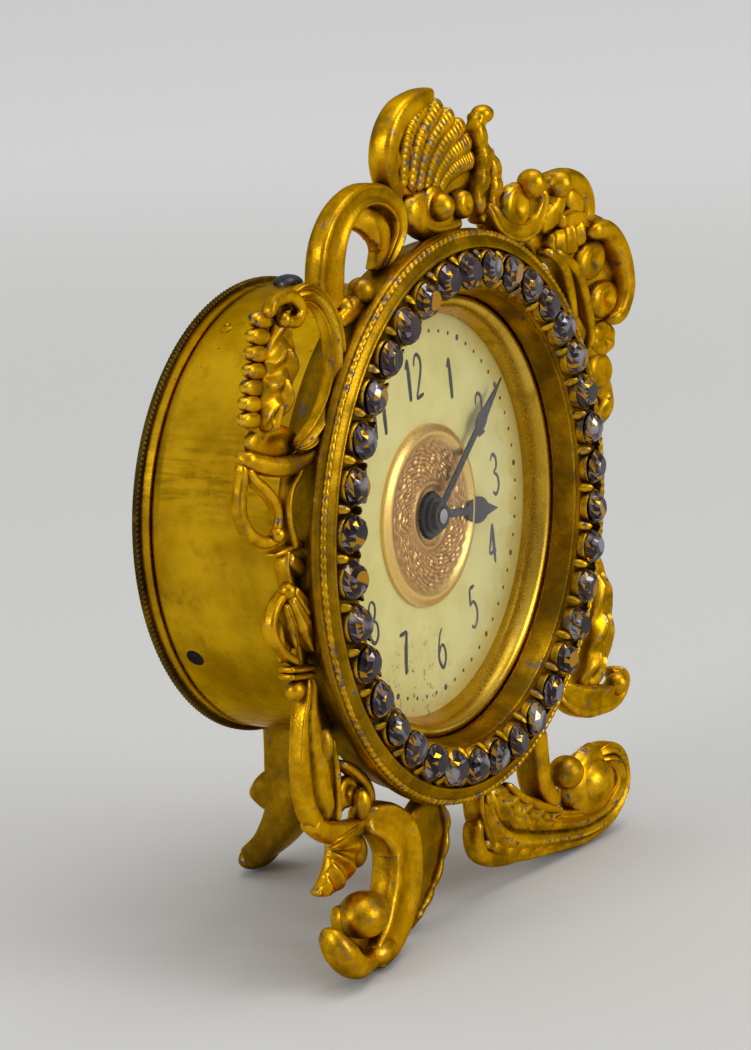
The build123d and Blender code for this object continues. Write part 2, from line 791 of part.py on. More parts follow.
# Plates
arbor_places = [second_at, third_at, fourth_at, escape_at, lever_at, balance_at]
pillar_places = [polar(pillar_circle, angle) for angle in pillar_angles]
with BuildPart() as front_plate:
    with BuildSketch(facing(front_plate_depth)):
        Circle(plate_r)
        Circle(centre_arbor_r + running_play, mode=Mode.SUBTRACT)
        with Locations(*arbor_places):
            Circle(pivot_r + running_play, mode=Mode.SUBTRACT)
        with Locations(*pillar_places):
            Circle(pillar_screw_r, mode=Mode.SUBTRACT)
        with Locations(*foot_places):
            Circle(dial_foot_r, mode=Mode.SUBTRACT)
        with Locations(minute_at):
            Circle(post_r, mode=Mode.SUBTRACT)
    extrude(amount=-plate_t)
save(front_plate.part, "front_plate")
with BuildPart() as back_plate:
    with BuildSketch(facing(back_plate_depth)):
        Circle(plate_r)
        Circle(great_pipe_r + running_play, mode=Mode.SUBTRACT)
        with Locations(*arbor_places):
            Circle(pivot_r + running_play, mode=Mode.SUBTRACT)
        with Locations(*pillar_places):
            Circle(pillar_screw_r, mode=Mode.SUBTRACT)
        with Locations(click_at):
            Circle(click_post_r, mode=Mode.SUBTRACT)
    extrude(amount=-plate_t)
    with BuildSketch(facing(back_plate_rear)):
        for angle in screw_angles:
            with Locations(Location((*polar(plate_r - lug_length / 2, angle), 0), (0, 0, angle))):
                Rectangle(lug_length, lug_width)
        Circle(plate_r, mode=Mode.INTERSECT)
    extrude(amount=-lug_t)
    with Locations(*[outward(angle, plate_r, screw_depth) for angle in screw_angles]):
        Cylinder(screw_r, 3 * lug_length, mode=Mode.SUBTRACT)
save(back_plate.part, "back_plate")

# Pillars and their nuts
nut_back = back_plate_rear + pillar_nut_t
with BuildPart() as pillars:
    for place in pillar_places:
        rod(place, plate_back, back_plate_depth, pillar_r)
        rod(place, front_plate_depth, nut_back, pillar_screw_r)
save(pillars.part, "pillars")
with BuildPart() as pillar_nuts:
    with BuildSketch(facing(back_plate_rear)):
        with Locations(*pillar_places):
            RegularPolygon(pillar_r + nut_margin, 6)
            Circle(pillar_screw_r, mode=Mode.SUBTRACT)
    extrude(amount=-pillar_nut_t)
save(pillar_nuts.part, "pillar_nuts")


def wheel(label, teeth, module, centre, depth, thickness, bore_r, tooth_at, crossings=4):
    """Toothed wheel with round crossings cut out of its web."""
    pitch_r = module * teeth / 2
    window_r = window_share * pitch_r
    with BuildPart() as blank:
        with BuildSketch(facing(depth, centre)):
            with BuildLine():
                Polyline(*toothed(teeth, module, tooth_at), close=True)
            make_face()
            Circle(bore_r, mode=Mode.SUBTRACT)
            with PolarLocations(window_circle * pitch_r, crossings):
                Circle(window_r, mode=Mode.SUBTRACT)
        extrude(amount=-thickness)
    save(blank.part, label)


def pinion_arbor(label, centre, leaves, module, depth, length, tooth_at):
    """Arbor with pivots in both plates and a pinion cut on it."""
    with BuildPart() as shaft:
        rod(centre, front_plate_depth, back_plate_rear, pivot_r)
        rod(centre, plate_back + end_play, back_plate_depth - end_play, arbor_r)
        with BuildSketch(facing(depth, centre)):
            with BuildLine():
                Polyline(*toothed(leaves, module, tooth_at), close=True)
            make_face()
        extrude(amount=-length)
    save(shaft.part, label)


# Going train
train = [
    ("second", second_at, second_leaves, great_module, great_layer, great_teeth, centre_at),
    ("third", third_at, third_leaves, second_module, second_layer, second_teeth, second_at),
    ("fourth", fourth_at, fourth_leaves, third_module, third_layer, third_teeth, third_at),
    ("escape", escape_at, escape_leaves, fourth_module, fourth_layer, fourth_teeth, fourth_at),
]
for name, place, leaves, module, layer, driver_teeth, driver_at in train:
    towards_driver = direction(place, driver_at)
    pinion_length = wheel_t + 2 * pinion_over
    pinion_arbor(f"{name}_arbor", place, leaves, module, layer - pinion_over, pinion_length,
                 gap_angle(leaves, towards_driver))
wheel("second_wheel", second_teeth, second_module, second_at, second_layer, wheel_t, arbor_r,
      direction(second_at, third_at))
wheel("third_wheel", third_teeth, third_module, third_at, third_layer, wheel_t, arbor_r,
      direction(third_at, fourth_at))
wheel("fourth_wheel", fourth_teeth, fourth_module, fourth_at, fourth_layer, wheel_t, arbor_r,
      direction(fourth_at, escape_at))

# Great wheel with the pipe that carries the spring's inner end
great_pitch_r = great_module * great_teeth / 2
spring_front = back_plate_rear + spring_step
spring_back = spring_front + spring_width
arbor_bore_r = centre_arbor_r + running_play
with BuildPart() as great_wheel:
    with BuildSketch(facing(great_layer)):
        with BuildLine():
            Polyline(*toothed(great_teeth, great_module, direction(centre_at, second_at)), close=True)
        make_face()
        with PolarLocations(window_circle * great_pitch_r, great_windows):
            Circle(window_share * great_pitch_r, mode=Mode.SUBTRACT)
    extrude(amount=-wheel_t)
    rod(centre_at, great_layer, spring_back, great_pipe_r)
    rod(centre_at, great_layer, spring_back, arbor_bore_r, mode=Mode.SUBTRACT)
save(great_wheel.part, "great_wheel")

# Escape wheel: pointed teeth that lean one way
escape_pitch = 360 / escape_teeth
tooth_front, tooth_back, tooth_foot = escape_tooth
escape_outline = []
for index in range(escape_teeth):
    escape_outline.append(polar(escape_root * escape_r, index * escape_pitch))
    escape_outline.append(polar(escape_r, (index + tooth_front) * escape_pitch))
    escape_outline.append(polar(escape_r, (index + tooth_back) * escape_pitch))
    escape_outline.append(polar(escape_root * escape_r, (index + tooth_foot) * escape_pitch))
with BuildPart() as escape_wheel:
    with BuildSketch(facing(escape_layer, escape_at)):
        with BuildLine():
            Polyline(*escape_outline, close=True)
        make_face()
        Circle(arbor_r, mode=Mode.SUBTRACT)
    extrude(amount=-wheel_t)
save(escape_wheel.part, "escape_wheel")

# Pallet lever: two pallet arms, a fork arm towards the balance, its own arbor
escape_to_lever = direction(escape_at, lever_at)
pallet_places = []
for spread in (-pallet_spread, pallet_spread):
    x, z = polar(pallet_share * escape_r, escape_to_lever + spread)
    pallet_places.append((escape_at[0] + x, escape_at[1] + z))
fork_x, fork_z = polar(roller_r + fork_gap, direction(balance_at, lever_at))
fork_at = (balance_at[0] + fork_x, balance_at[1] + fork_z)
with BuildPart() as pallet_lever:
    with BuildSketch(facing(lever_layer)):
        with BuildLine():
            for end in (*pallet_places, fork_at):
                Line(lever_at, end)
        trace(line_width=2 * arbor_r)
        with Locations(lever_at):
            Circle(2 * arbor_r)
        with Locations(*pallet_places):
            Circle(2 * pallet_pin_r)
    extrude(amount=-lever_t)
    rod(lever_at, front_plate_depth, back_plate_rear, pivot_r)
    rod(lever_at, plate_back + end_play, back_plate_depth - end_play, arbor_r)
save(pallet_lever.part, "pallet_lever")
with BuildPart() as pallet_pins:
    for place in pallet_places:
        rod(place, escape_layer + wheel_t + pallet_gap, lever_layer, pallet_pin_r)
save(pallet_pins.part, "pallet_pins")

# Balance: staff with collet and roller, spoked wheel, hairspring and its stud
impulse_x, impulse_z = polar(roller_r - impulse_inset, direction(balance_at, lever_at))
with BuildPart() as balance_staff:
    rod(balance_at, front_plate_depth, back_plate_rear, pivot_r)
    rod(balance_at, plate_back + end_play, back_plate_depth - end_play, arbor_r)
    rod(balance_at, hairspring_layer, hairspring_layer + wheel_t, collet_r)
    rod(balance_at, roller_layer, roller_layer + lever_t, roller_r)
    rod((balance_at[0] + impulse_x, balance_at[1] + impulse_z), lever_layer + lever_t + pallet_gap,
        roller_layer, pallet_pin_r)
save(balance_staff.part, "balance_staff")
with BuildPart() as balance_wheel:
    with BuildSketch(facing(balance_layer, balance_at)):
        Circle(balance_r)
        Circle(balance_r - balance_rim, mode=Mode.SUBTRACT)
        with PolarLocations(balance_r / 2, 3):
            Rectangle(balance_r - balance_rim / 2, balance_rim)
        Circle(2 * arbor_r)
        Circle(arbor_r, mode=Mode.SUBTRACT)
    extrude(amount=-balance_t)
save(balance_wheel.part, "balance_wheel")


def coil(label, centre, depth, width, inner_r, outer_r, thickness, turns):
    """Flat spiral strip of half-circle turns; each half turn is one step wider than the one before."""
    first_r = inner_r + thickness / 2
    step = (outer_r - thickness / 2 - first_r) / (2 * turns)
    with BuildPart() as strip:
        with BuildSketch(facing(depth, centre)):
            with BuildLine():
                for half in range(2 * turns):
                    shift = (step * (half % 2), 0)
                    radius = first_r + half * step
                    inside = CenterArc(shift, radius - thickness / 2, 180 * (half % 2), 180)
                    outside = CenterArc(shift, radius + thickness / 2, 180 * (half % 2), 180)
                    if half == 0:
                        Line(inside @ 0, outside @ 0)
                Line(inside @ 1, outside @ 1)
            make_face()
        extrude(amount=-width)
    save(strip.part, label)


hairspring_inner_r = collet_r + hairspring_play
coil("hairspring", balance_at, hairspring_layer, wheel_t, hairspring_inner_r, hairspring_r, hairspring_t,
     hairspring_turns)
with BuildPart() as hairspring_stud:
    stud_at = (balance_at[0] + hairspring_r + stud_r, balance_at[1])
    rod(stud_at, plate_back, hairspring_layer + wheel_t, stud_r)
save(hairspring_stud.part, "hairspring_stud")

# Hands' arbor with its wheel and cannon, and the slipping wheel that drives it
with BuildPart() as centre_arbor:
    rod(centre_at, minute_hand_depth - hand_nut_t - pallet_gap, knob_back - back_face_t, centre_arbor_r)
save(centre_arbor.part, "centre_arbor")
towards_second = direction(centre_at, second_at)
wheel("cannon_wheel", drive_teeth, drive_module, centre_at, drive_layer, drive_wheel_t, centre_arbor_r,
      towards_second)
wheel("drive_wheel", drive_teeth, drive_module, second_at, drive_layer, drive_wheel_t, arbor_r + running_play,
      gap_angle(drive_teeth, towards_second + 180))
with BuildPart() as friction_spring:
    rod(second_at, friction_layer, friction_layer + motion_wheel_t / 2, 2 * hour_bore_r)
    rod(second_at, friction_layer, friction_layer + motion_wheel_t / 2, arbor_r, mode=Mode.SUBTRACT)
save(friction_spring.part, "friction_spring")

# Motion work under the dial
cannon_front = minute_hand_depth + hand_t
hour_front = hour_hand_depth + hand_t
minute_layer = front_plate_depth - minute_step
hour_layer = minute_layer - hour_step
towards_minute = direction(centre_at, minute_at)
with BuildPart() as cannon_pinion:
    with BuildSketch(facing(minute_layer - end_play)):
        with BuildLine():
            Polyline(*toothed(cannon_leaves, minute_module, towards_minute), close=True)
        make_face()
    extrude(amount=-(motion_wheel_t + 2 * end_play))
    rod(centre_at, cannon_front, minute_layer, cannon_pipe_r)
    rod(centre_at, cannon_front, front_plate_depth, centre_arbor_r, mode=Mode.SUBTRACT)
save(cannon_pinion.part, "cannon_pinion")
with BuildPart() as minute_wheel:
    with BuildSketch(facing(minute_layer, minute_at)):
        with BuildLine():
            tooth_space = gap_angle(minute_teeth, towards_minute + 180)
            Polyline(*toothed(minute_teeth, minute_module, tooth_space), close=True)
        make_face()
    extrude(amount=-motion_wheel_t)
    with BuildSketch(facing(hour_layer - end_play, minute_at)):
        with BuildLine():
            Polyline(*toothed(minute_leaves, hour_module, towards_minute + 180), close=True)
        make_face()
    extrude(amount=-(minute_layer - hour_layer + end_play))
    rod(minute_at, hour_layer - end_play, front_plate_depth, post_r + running_play, mode=Mode.SUBTRACT)
save(minute_wheel.part, "minute_wheel")
with BuildPart() as minute_post:
    rod(minute_at, hour_layer - 2 * end_play, plate_back, post_r)
save(minute_post.part, "minute_post")
with BuildPart() as hour_wheel:
    with BuildSketch(facing(hour_layer)):
        with BuildLine():
            Polyline(*toothed(hour_teeth, hour_module, gap_angle(hour_teeth, towards_minute)), close=True)
        make_face()
    extrude(amount=-motion_wheel_t)
    rod(centre_at, hour_front, hour_layer, hour_pipe_r)
    rod(centre_at, hour_front, hour_layer + motion_wheel_t, hour_bore_r, mode=Mode.SUBTRACT)
save(hour_wheel.part, "hour_wheel")

# Winding back: knurled rim, flat face, spigot in the drum, spring cup
cup_front = back_plate_rear + cup_step
cup_inner_r = cup_r - cup_wall
spigot_r = drum_inner_r - running_play
face_front = rim_back - back_face_t
knurl_points = []
for index in range(knurl_count):
    knurl_points.append(polar(knurl_r, 360 * index / knurl_count))
    knurl_points.append(polar(knurl_r - knurl_depth, 360 * (index + 0.5) / knurl_count))
with BuildPart() as winding_back:
    with BuildSketch(facing(rim_front)):
        with BuildLine():
            Polyline(*knurl_points, close=True)
        make_face()
    extrude(amount=-rim_t)
    rod(centre_at, drum_back - spigot_length, rim_back, spigot_r)
    rod(centre_at, drum_back - spigot_length, face_front, spigot_r - 2 * drum_wall, mode=Mode.SUBTRACT)
    with BuildSketch(facing(cup_front)):
        Circle(cup_r)
        Circle(cup_inner_r, mode=Mode.SUBTRACT)
    extrude(amount=-(face_front - cup_front))
    rod(centre_at, cup_front, rim_back, arbor_bore_r, mode=Mode.SUBTRACT)
save(winding_back.part, "winding_back")

# Ratchet ring in the mouth of the spring cup, and the click on the back plate
ratchet_root_r = cup_inner_r - ratchet_height
ratchet_tip_r = ratchet_root_r - ratchet_height
ratchet_points = []
for index in range(ratchet_teeth):
    ratchet_points.append(polar(ratchet_tip_r, 360 * index / ratchet_teeth))
    ratchet_points.append(polar(ratchet_root_r, 360 * (index + ratchet_lean) / ratchet_teeth))
with BuildPart() as ratchet_ring:
    with BuildSketch(facing(cup_front)):
        Circle(cup_inner_r)
        with BuildLine():
            Polyline(*ratchet_points, close=True)
        make_face(mode=Mode.SUBTRACT)
    extrude(amount=-ratchet_t)
save(ratchet_ring.part, "ratchet_ring")
click_tip = polar(ratchet_tip_r - click_gap - arbor_r, click_tip_angle)
with BuildPart() as click:
    with BuildSketch(facing(cup_front)):
        with BuildLine():
            Line(click_at, click_tip)
        trace(line_width=2 * arbor_r)
        with Locations(click_tip):
            Circle(arbor_r)
        with Locations(click_at):
            Circle(2 * click_post_r)
            Circle(click_post_r + running_play, mode=Mode.SUBTRACT)
    extrude(amount=-ratchet_t)
save(click.part, "click")
click_back = cup_front + ratchet_t
click_head_r = click_head * click_post_r
with BuildPart() as click_screw:
    rod(click_at, back_plate_depth, click_back + end_play, click_post_r)
    rod(click_at, back_plate_rear, cup_front - running_play, click_head_r)
    rod(click_at, click_back + running_play, click_back + 2 * end_play, click_head_r)
save(click_screw.part, "click_screw")

# Mainspring between the great wheel's pipe and the cup's wall
spring_inner_r = great_pipe_r + running_play
spring_outer_r = cup_inner_r - running_play
coil(
    "mainspring", centre_at, spring_front, spring_width,
    spring_inner_r, spring_outer_r, spring_t, spring_turns,
)

# Setting knob with a fluted edge
flute_points = []
for index in range(knob_flutes):
    flute_points.append(polar(knob_r, 360 * index / knob_flutes))
    flute_points.append(polar(knob_r, 360 * (index + 0.5) / knob_flutes))
    flute_points.append(polar(knob_root * knob_r, 360 * (index + 0.75) / knob_flutes))
with BuildPart() as set_knob:
    with BuildSketch(facing(knob_front)):
        with BuildLine():
            Polyline(*flute_points, close=True)
        make_face()
    extrude(amount=-knob_t)
    rod(centre_at, knob_front, knob_back - back_face_t, centre_arbor_r, mode=Mode.SUBTRACT)
save(set_knob.part, "set_knob")
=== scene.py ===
import json
import bmesh
import bpy
import numpy as np
from mathutils import Matrix


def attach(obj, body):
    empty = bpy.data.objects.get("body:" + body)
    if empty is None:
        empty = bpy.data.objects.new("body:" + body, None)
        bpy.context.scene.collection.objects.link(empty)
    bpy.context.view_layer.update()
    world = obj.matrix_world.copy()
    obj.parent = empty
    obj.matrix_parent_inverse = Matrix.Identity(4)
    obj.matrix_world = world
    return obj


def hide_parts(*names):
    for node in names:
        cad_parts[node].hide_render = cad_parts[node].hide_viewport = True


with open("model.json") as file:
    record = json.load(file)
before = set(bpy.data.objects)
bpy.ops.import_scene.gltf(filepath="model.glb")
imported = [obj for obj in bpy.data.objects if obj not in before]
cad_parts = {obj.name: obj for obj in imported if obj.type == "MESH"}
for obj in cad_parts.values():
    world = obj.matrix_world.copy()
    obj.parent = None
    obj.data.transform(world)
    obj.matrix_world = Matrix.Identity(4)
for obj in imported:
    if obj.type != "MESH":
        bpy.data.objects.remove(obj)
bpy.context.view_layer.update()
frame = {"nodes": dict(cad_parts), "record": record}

# Sizes in millimetres: across and up from the middle of the stone ring, depth backwards from the stones' girdle
AXIS_HEIGHT = 48.5
GIRDLE_PLANE = -17.0
STONE_CIRCLE = 30.0
STONE_R = 2.12
STONES = 36
FIRST_STONE = 2.5
FACETS = 16
DRUM_R = 27.9
MM = 0.001
TURN = 2.0 * np.pi
MIDRIB_WIDTH = 0.14


# Lines and grids; each grid comes with whether it closes along its rows and along its columns

def circle(n):
    """n even angles round one turn."""
    return np.linspace(0.0, TURN, n, endpoint=False)


def over_and_back(first, m):
    """Shares of a radius from first out to 1 over the front, then back again behind, and a mask of
    the ones in front."""
    p = np.linspace(first, 1.0, m)
    return np.concatenate([p, p[-2::-1]])[None, :], (np.arange(2 * m - 1) < m)[None, :]


def level(depth, *points):
    """Points (across, up) of a line that stays at one depth."""
    return [(x, z, depth) for x, z in points]


def along(values, u):
    """Values spread evenly over 0 to 1 and read off at u, straight between neighbours."""
    v = np.atleast_1d(np.asarray(values, float))
    return np.interp(u, np.linspace(0.0, 1.0, len(v)), v) if len(v) > 1 else np.full(len(u), v[0])


def smooth_line(points, n, fine=40):
    """Cubic curve through the points, each span blended from its four neighbours in fine steps, then
    n points at equal distances along it."""
    p = np.asarray(points, float)
    spans = len(p) - 1
    t = np.linspace(0.0, spans, fine * spans + 1)
    i = np.minimum(t.astype(int), spans - 1)
    f = (t - i)[:, None]
    a, b, c, d = (p[np.clip(i + s, 0, spans)] for s in (-1, 0, 1, 2))
    q = 0.5 * (2 * b + (c - a) * f + (2 * a - 5 * b + 4 * c - d) * f**2 + (3 * b - a - 3 * c + d) * f**3)
    s = np.concatenate([[0.0], np.cumsum(np.linalg.norm(np.diff(q, axis=0), axis=1))])
    w = np.linspace(0.0, s[-1], n)
    return np.stack([np.interp(w, s, q[:, j]) for j in range(q.shape[1])], axis=1)


def moulding(points, wide, rise, back, cut=0.0, valleys=1, knobs=0, knob=0.0, side=0, veins=0.0, vein=0.0,
             slant=0.0, midrib=0.0, crown=0.6, box=0.8, n=60, m=26, ends=(0.08, 0.08), upright=False):
    """Section carried along a line in the frame's plane; points are (across, up, depth).
    Across the section goes wide*cos(a)**box; out of the plane it goes rise*sin(a)**crown in front and
    back*sin(a) behind. `cut` lowers the front in `valleys` cosine troughs across the width, `vein`
    in cosine troughs along the line that lean by `slant`, `midrib` in one narrow trough down the
    middle. `knobs` swell the width on one side, or on both, by a cosine along the line.
    Both ends close in a quarter round. An upright line runs in the plane of depth and height."""
    q = smooth_line(points, n)
    u = np.linspace(0.0, 1.0, n)
    step = np.gradient(q, axis=0)[:, :2]
    t = step / np.maximum(np.linalg.norm(step, axis=1, keepdims=True), 1e-9)
    normal = np.stack([-t[:, 1], t[:, 0]], axis=1)
    e = (np.sqrt(1 - (1 - np.clip(u / ends[0], 0, 1))**2)
         * np.sqrt(1 - (1 - np.clip((1 - u) / ends[1], 0, 1))**2))
    a = circle(m)
    c, s = (np.sign(np.cos(a)) * np.abs(np.cos(a))**box)[None, :], np.sin(a)[None, :]
    swell = 1.0
    if knobs:
        dip = (0.5 - 0.5 * np.cos(TURN * knobs * u))[:, None]**2
        swell = 1.0 - knob * dip * (np.clip(side * c, 0, 1) if side else 1.0)
    relief = 1.0 - cut * (0.5 - 0.5 * np.cos(np.pi * valleys * (c + 1)))
    relief = relief * (1.0 - vein * (0.5 - 0.5 * np.cos(TURN * (veins * u[:, None] - slant * np.abs(c)))))
    relief = relief * (1.0 - midrib * np.exp(-(c / MIDRIB_WIDTH)**2))
    lift = np.where(s > 0, along(rise, u)[:, None] * np.abs(s)**crown * relief,
                    along(back, u)[:, None] * s) * e[:, None] * (swell if side == 0 else 1.0)
    spread = (along(wide, u) * e)[:, None] * c * swell
    flat = q[:, None, :2] + normal[:, None, :] * spread[..., None]
    out = q[:, None, 2] - lift
    order = (out, flat[..., 0], flat[..., 1]) if upright else (flat[..., 0], out, flat[..., 1])
    return np.stack(order, axis=-1), False, True


def ball(at, r, squash=(1.0, 1.0, 1.0), n=28, m=15):
    """Round knob: longitude by latitude on a sphere of radius r, squashed along each axis;
    at is (across, up, depth)."""
    lon = circle(n)[:, None]
    lat = np.linspace(-0.5 * np.pi, 0.5 * np.pi, m)[None, :]
    x = at[0] + r * squash[0] * np.cos(lon) * np.cos(lat)
    z = at[1] + r * squash[2] * np.sin(lon) * np.cos(lat)
    d = at[2] + r * squash[1] * np.sin(lat) * np.ones_like(lon)
    return np.stack([x, d, z], axis=-1), True, False


def snail(at, r, rise, turns, phase=0.0, cut=0.35, back=1.5, n=64, m=16):
    """Volute eye: a low dome over a disc, rise*sqrt(1-p^2), with a groove that winds inwards as
    cos(angle - turns*radius), closed by a flatter dome behind."""
    th = circle(n)[:, None]
    p, front = over_and_back(0.0, m)
    dome = np.sqrt(np.clip(1 - p**2, 0, 1))
    groove = 1.0 - cut * (0.5 + 0.5 * np.cos(th + phase - TURN * turns * p)) * np.clip(p * 3, 0, 1)
    d = at[2] + np.where(front, -rise * dome * groove, back * dome)
    return np.stack([at[0] + r * p * np.cos(th), d, at[1] + r * p * np.sin(th)], axis=-1), True, False


def cup_lobe(at, r, rise, hollow, flutes=0, flute=0.0, back=1.4, long=1.0, turn=0.0, n=56, m=14):
    """Scallop: a dome rise*(1-p^2)^0.35 over a disc, dimpled in the middle by hollow*exp(-(p/0.45)^2)
    and fluted by a cosine round it; the disc is stretched by `long` along a line turned by `turn`."""
    th = circle(n)[:, None]
    p, front = over_and_back(0.0, m)
    dome = np.sqrt(np.clip(1 - p**2, 0, 1))
    wave = 0.5 + 0.5 * np.cos(flutes * th)
    shape = (1 - hollow * np.exp(-(p / 0.45)**2)) * (1 - flute * wave * np.clip(p * 2, 0, 1))
    d = at[2] + np.where(front, -rise * dome**0.7 * shape, back * dome)
    a, b = r * long * p * np.cos(th), r * p * np.sin(th) * (1 - 0.35 * flute * wave)
    k = np.radians(turn)
    x, z = at[0] + a * np.cos(k) - b * np.sin(k), at[1] + a * np.sin(k) + b * np.cos(k)
    return np.stack([x, d, z], axis=-1), True, False


def fan(at, angles, reach, rise, back, ribs, cut, scallop, dish=0.0, n=120, m=26):
    """Shell fan: polar grid round its foot, radius reach(angle) nicked at each rib by a cosine.
    The front rises by ribs, a cosine over the angle, and by a dish that deepens towards the foot;
    front and back meet at the rim and at both sides."""
    t = np.linspace(0.0, 1.0, n)[:, None]
    th = np.radians(angles[0] + (angles[1] - angles[0]) * t)
    p, front = over_and_back(0.02, m)
    wave = 0.5 - 0.5 * np.cos(TURN * ribs * t)
    r = along(reach, t[:, 0])[:, None] * (1 - scallop * (1 - wave) * p**2)
    edge = np.sqrt(np.clip(1 - p**8, 0, 1)) * np.clip(1 - (2 * t - 1)**10, 0, 1)
    height = rise * (0.25 + 0.75 * p**0.7) * (1 - cut * (1 - wave) * np.clip(p * 2, 0, 1))
    d = at[2] + np.where(front, -(height - dish * (1 - p)) * edge, back * edge)
    return np.stack([at[0] + r * p * np.cos(th), d, at[1] + r * p * np.sin(th)], axis=-1), False, True


def turned(profile, n=360, fine=1, ripple=0.0, count=0, where=1.0):
    """Turned ring: a closed profile of (radius, depth) carried round the clock's axis. On the
    profile points marked in `where` the radius swells by ripple*cos(count*angle)."""
    p = np.asarray(profile, float)
    if fine > 1:
        f = np.linspace(0.0, 1.0, fine, endpoint=False)[None, :, None]
        p = (p[:, None, :] * (1 - f) + np.roll(p, -1, 0)[:, None, :] * f).reshape(-1, 2)
    th = circle(n)[:, None]
    r = np.repeat(p[None, :, 0], n, axis=0)
    d = np.repeat(p[None, :, 1], n, axis=0)
    if count:
        r = r + ripple * np.asarray(where, float) * np.cos(count * th)
    return np.stack([r * np.cos(th), d, r * np.sin(th)], axis=-1), True, True


def round_wire(radius, at_depth, wire, n, m, count=0, ripple=0.0):
    """Twisted wire: a ring of round section whose radius swells by ripple*cos(count*angle + round
    angle), so that the strands lean."""
    th, a = circle(n)[:, None], circle(m)[None, :]
    w = wire * (1 + ripple * np.cos(count * th + a))
    r = radius + w * np.cos(a)
    return np.stack([r * np.cos(th), at_depth + w * np.sin(a), r * np.sin(th)], axis=-1), True, True


# Meshes

RELIEF_GAIN = 6.0
MERGE, SLIVER = 2e-6, 1e-7
CREASE = np.radians(42.0)


def relief_of(p, wrap_u, wrap_v, sign):
    """How far each point stands above the mean of its four neighbours along the outward normal,
    over the neighbours' distance: ridges above 0, grooves below."""
    def steps(axis, wrap):
        if wrap:
            return np.roll(p, -1, axis), np.roll(p, 1, axis)
        pad = np.concatenate([p.take([0], axis), p, p.take([-1], axis)], axis)
        k = p.shape[axis]
        return pad.take(np.arange(2, k + 2), axis), pad.take(np.arange(0, k), axis)
    un, up = steps(0, wrap_u)
    vn, vp = steps(1, wrap_v)
    normal = np.cross(un - up, vn - vp)
    normal = sign * normal / np.maximum(np.linalg.norm(normal, axis=-1, keepdims=True), 1e-12)
    mean = 0.25 * (un + up + vn + vp)
    reach = np.maximum(np.linalg.norm(un - up, axis=-1) + np.linalg.norm(vn - vp, axis=-1), 1e-6)
    return np.tanh(RELIEF_GAIN * np.sum((p - mean) * normal, axis=-1) / reach)


def weld(mesh, merge, sliver=0.0):
    """Merges points closer than merge and takes out faces thinner than sliver, both in metres."""
    bm = bmesh.new()
    bm.from_mesh(mesh)
    bmesh.ops.remove_doubles(bm, verts=bm.verts, dist=merge)
    if sliver:
        bmesh.ops.dissolve_degenerate(bm, edges=bm.edges, dist=sliver)
    bm.to_mesh(mesh)
    bm.free()


def make_piece(name, grids, finish, body="clock", stands_for=(), flat=False):
    """Joins closed grids into one mesh. Each grid gives one face per cell, turned outwards by the
    sign of its enclosed volume; points that meet at poles and seams are merged. The height above
    the neighbours is kept as the point attribute `relief`."""
    points, faces, reliefs, start = [], [], [], 0
    for p, wrap_u, wrap_v in grids:
        nu, nv = p.shape[:2]
        i = np.arange(nu if wrap_u else nu - 1)[:, None]
        j = np.arange(nv if wrap_v else nv - 1)[None, :]
        i2, j2 = (i + 1) % nu, (j + 1) % nv
        quad = np.stack([i * nv + j, i2 * nv + j, i2 * nv + j2, i * nv + j2], axis=-1).reshape(-1, 4)
        flat_p = p.reshape(-1, 3) - p.reshape(-1, 3).mean(0)
        a, b, c, d = (flat_p[quad[:, k]] for k in range(4))
        volume = np.sum(a * np.cross(b, c)) + np.sum(a * np.cross(c, d))
        sign = 1.0 if volume > 0 else -1.0
        if volume < 0:
            quad = quad[:, ::-1]
        points.append(p.reshape(-1, 3))
        reliefs.append(relief_of(p, wrap_u, wrap_v, sign).reshape(-1))
        faces.append(quad + start)
        start += nu * nv
    xyz = (np.concatenate(points) + np.array([0.0, GIRDLE_PLANE, AXIS_HEIGHT])) * MM
    mesh = bpy.data.meshes.new(name)
    mesh.from_pydata(xyz.tolist(), [], np.concatenate(faces).tolist())
    tone = mesh.attributes.new("relief", "FLOAT", "POINT")
    tone.data.foreach_set("value", np.concatenate(reliefs).astype(np.float32))
    weld(mesh, MERGE, SLIVER)
    mesh.polygons.foreach_set("use_smooth", np.full(len(mesh.polygons), not flat))
    if not flat:
        mesh.set_sharp_from_angle(angle=CREASE)
    piece = bpy.data.objects.new(name, mesh)
    bpy.context.scene.collection.objects.link(piece)
    mesh.materials.append(finish)
    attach(piece, body)
    if stands_for:
        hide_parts(*stands_for)


# Finishes

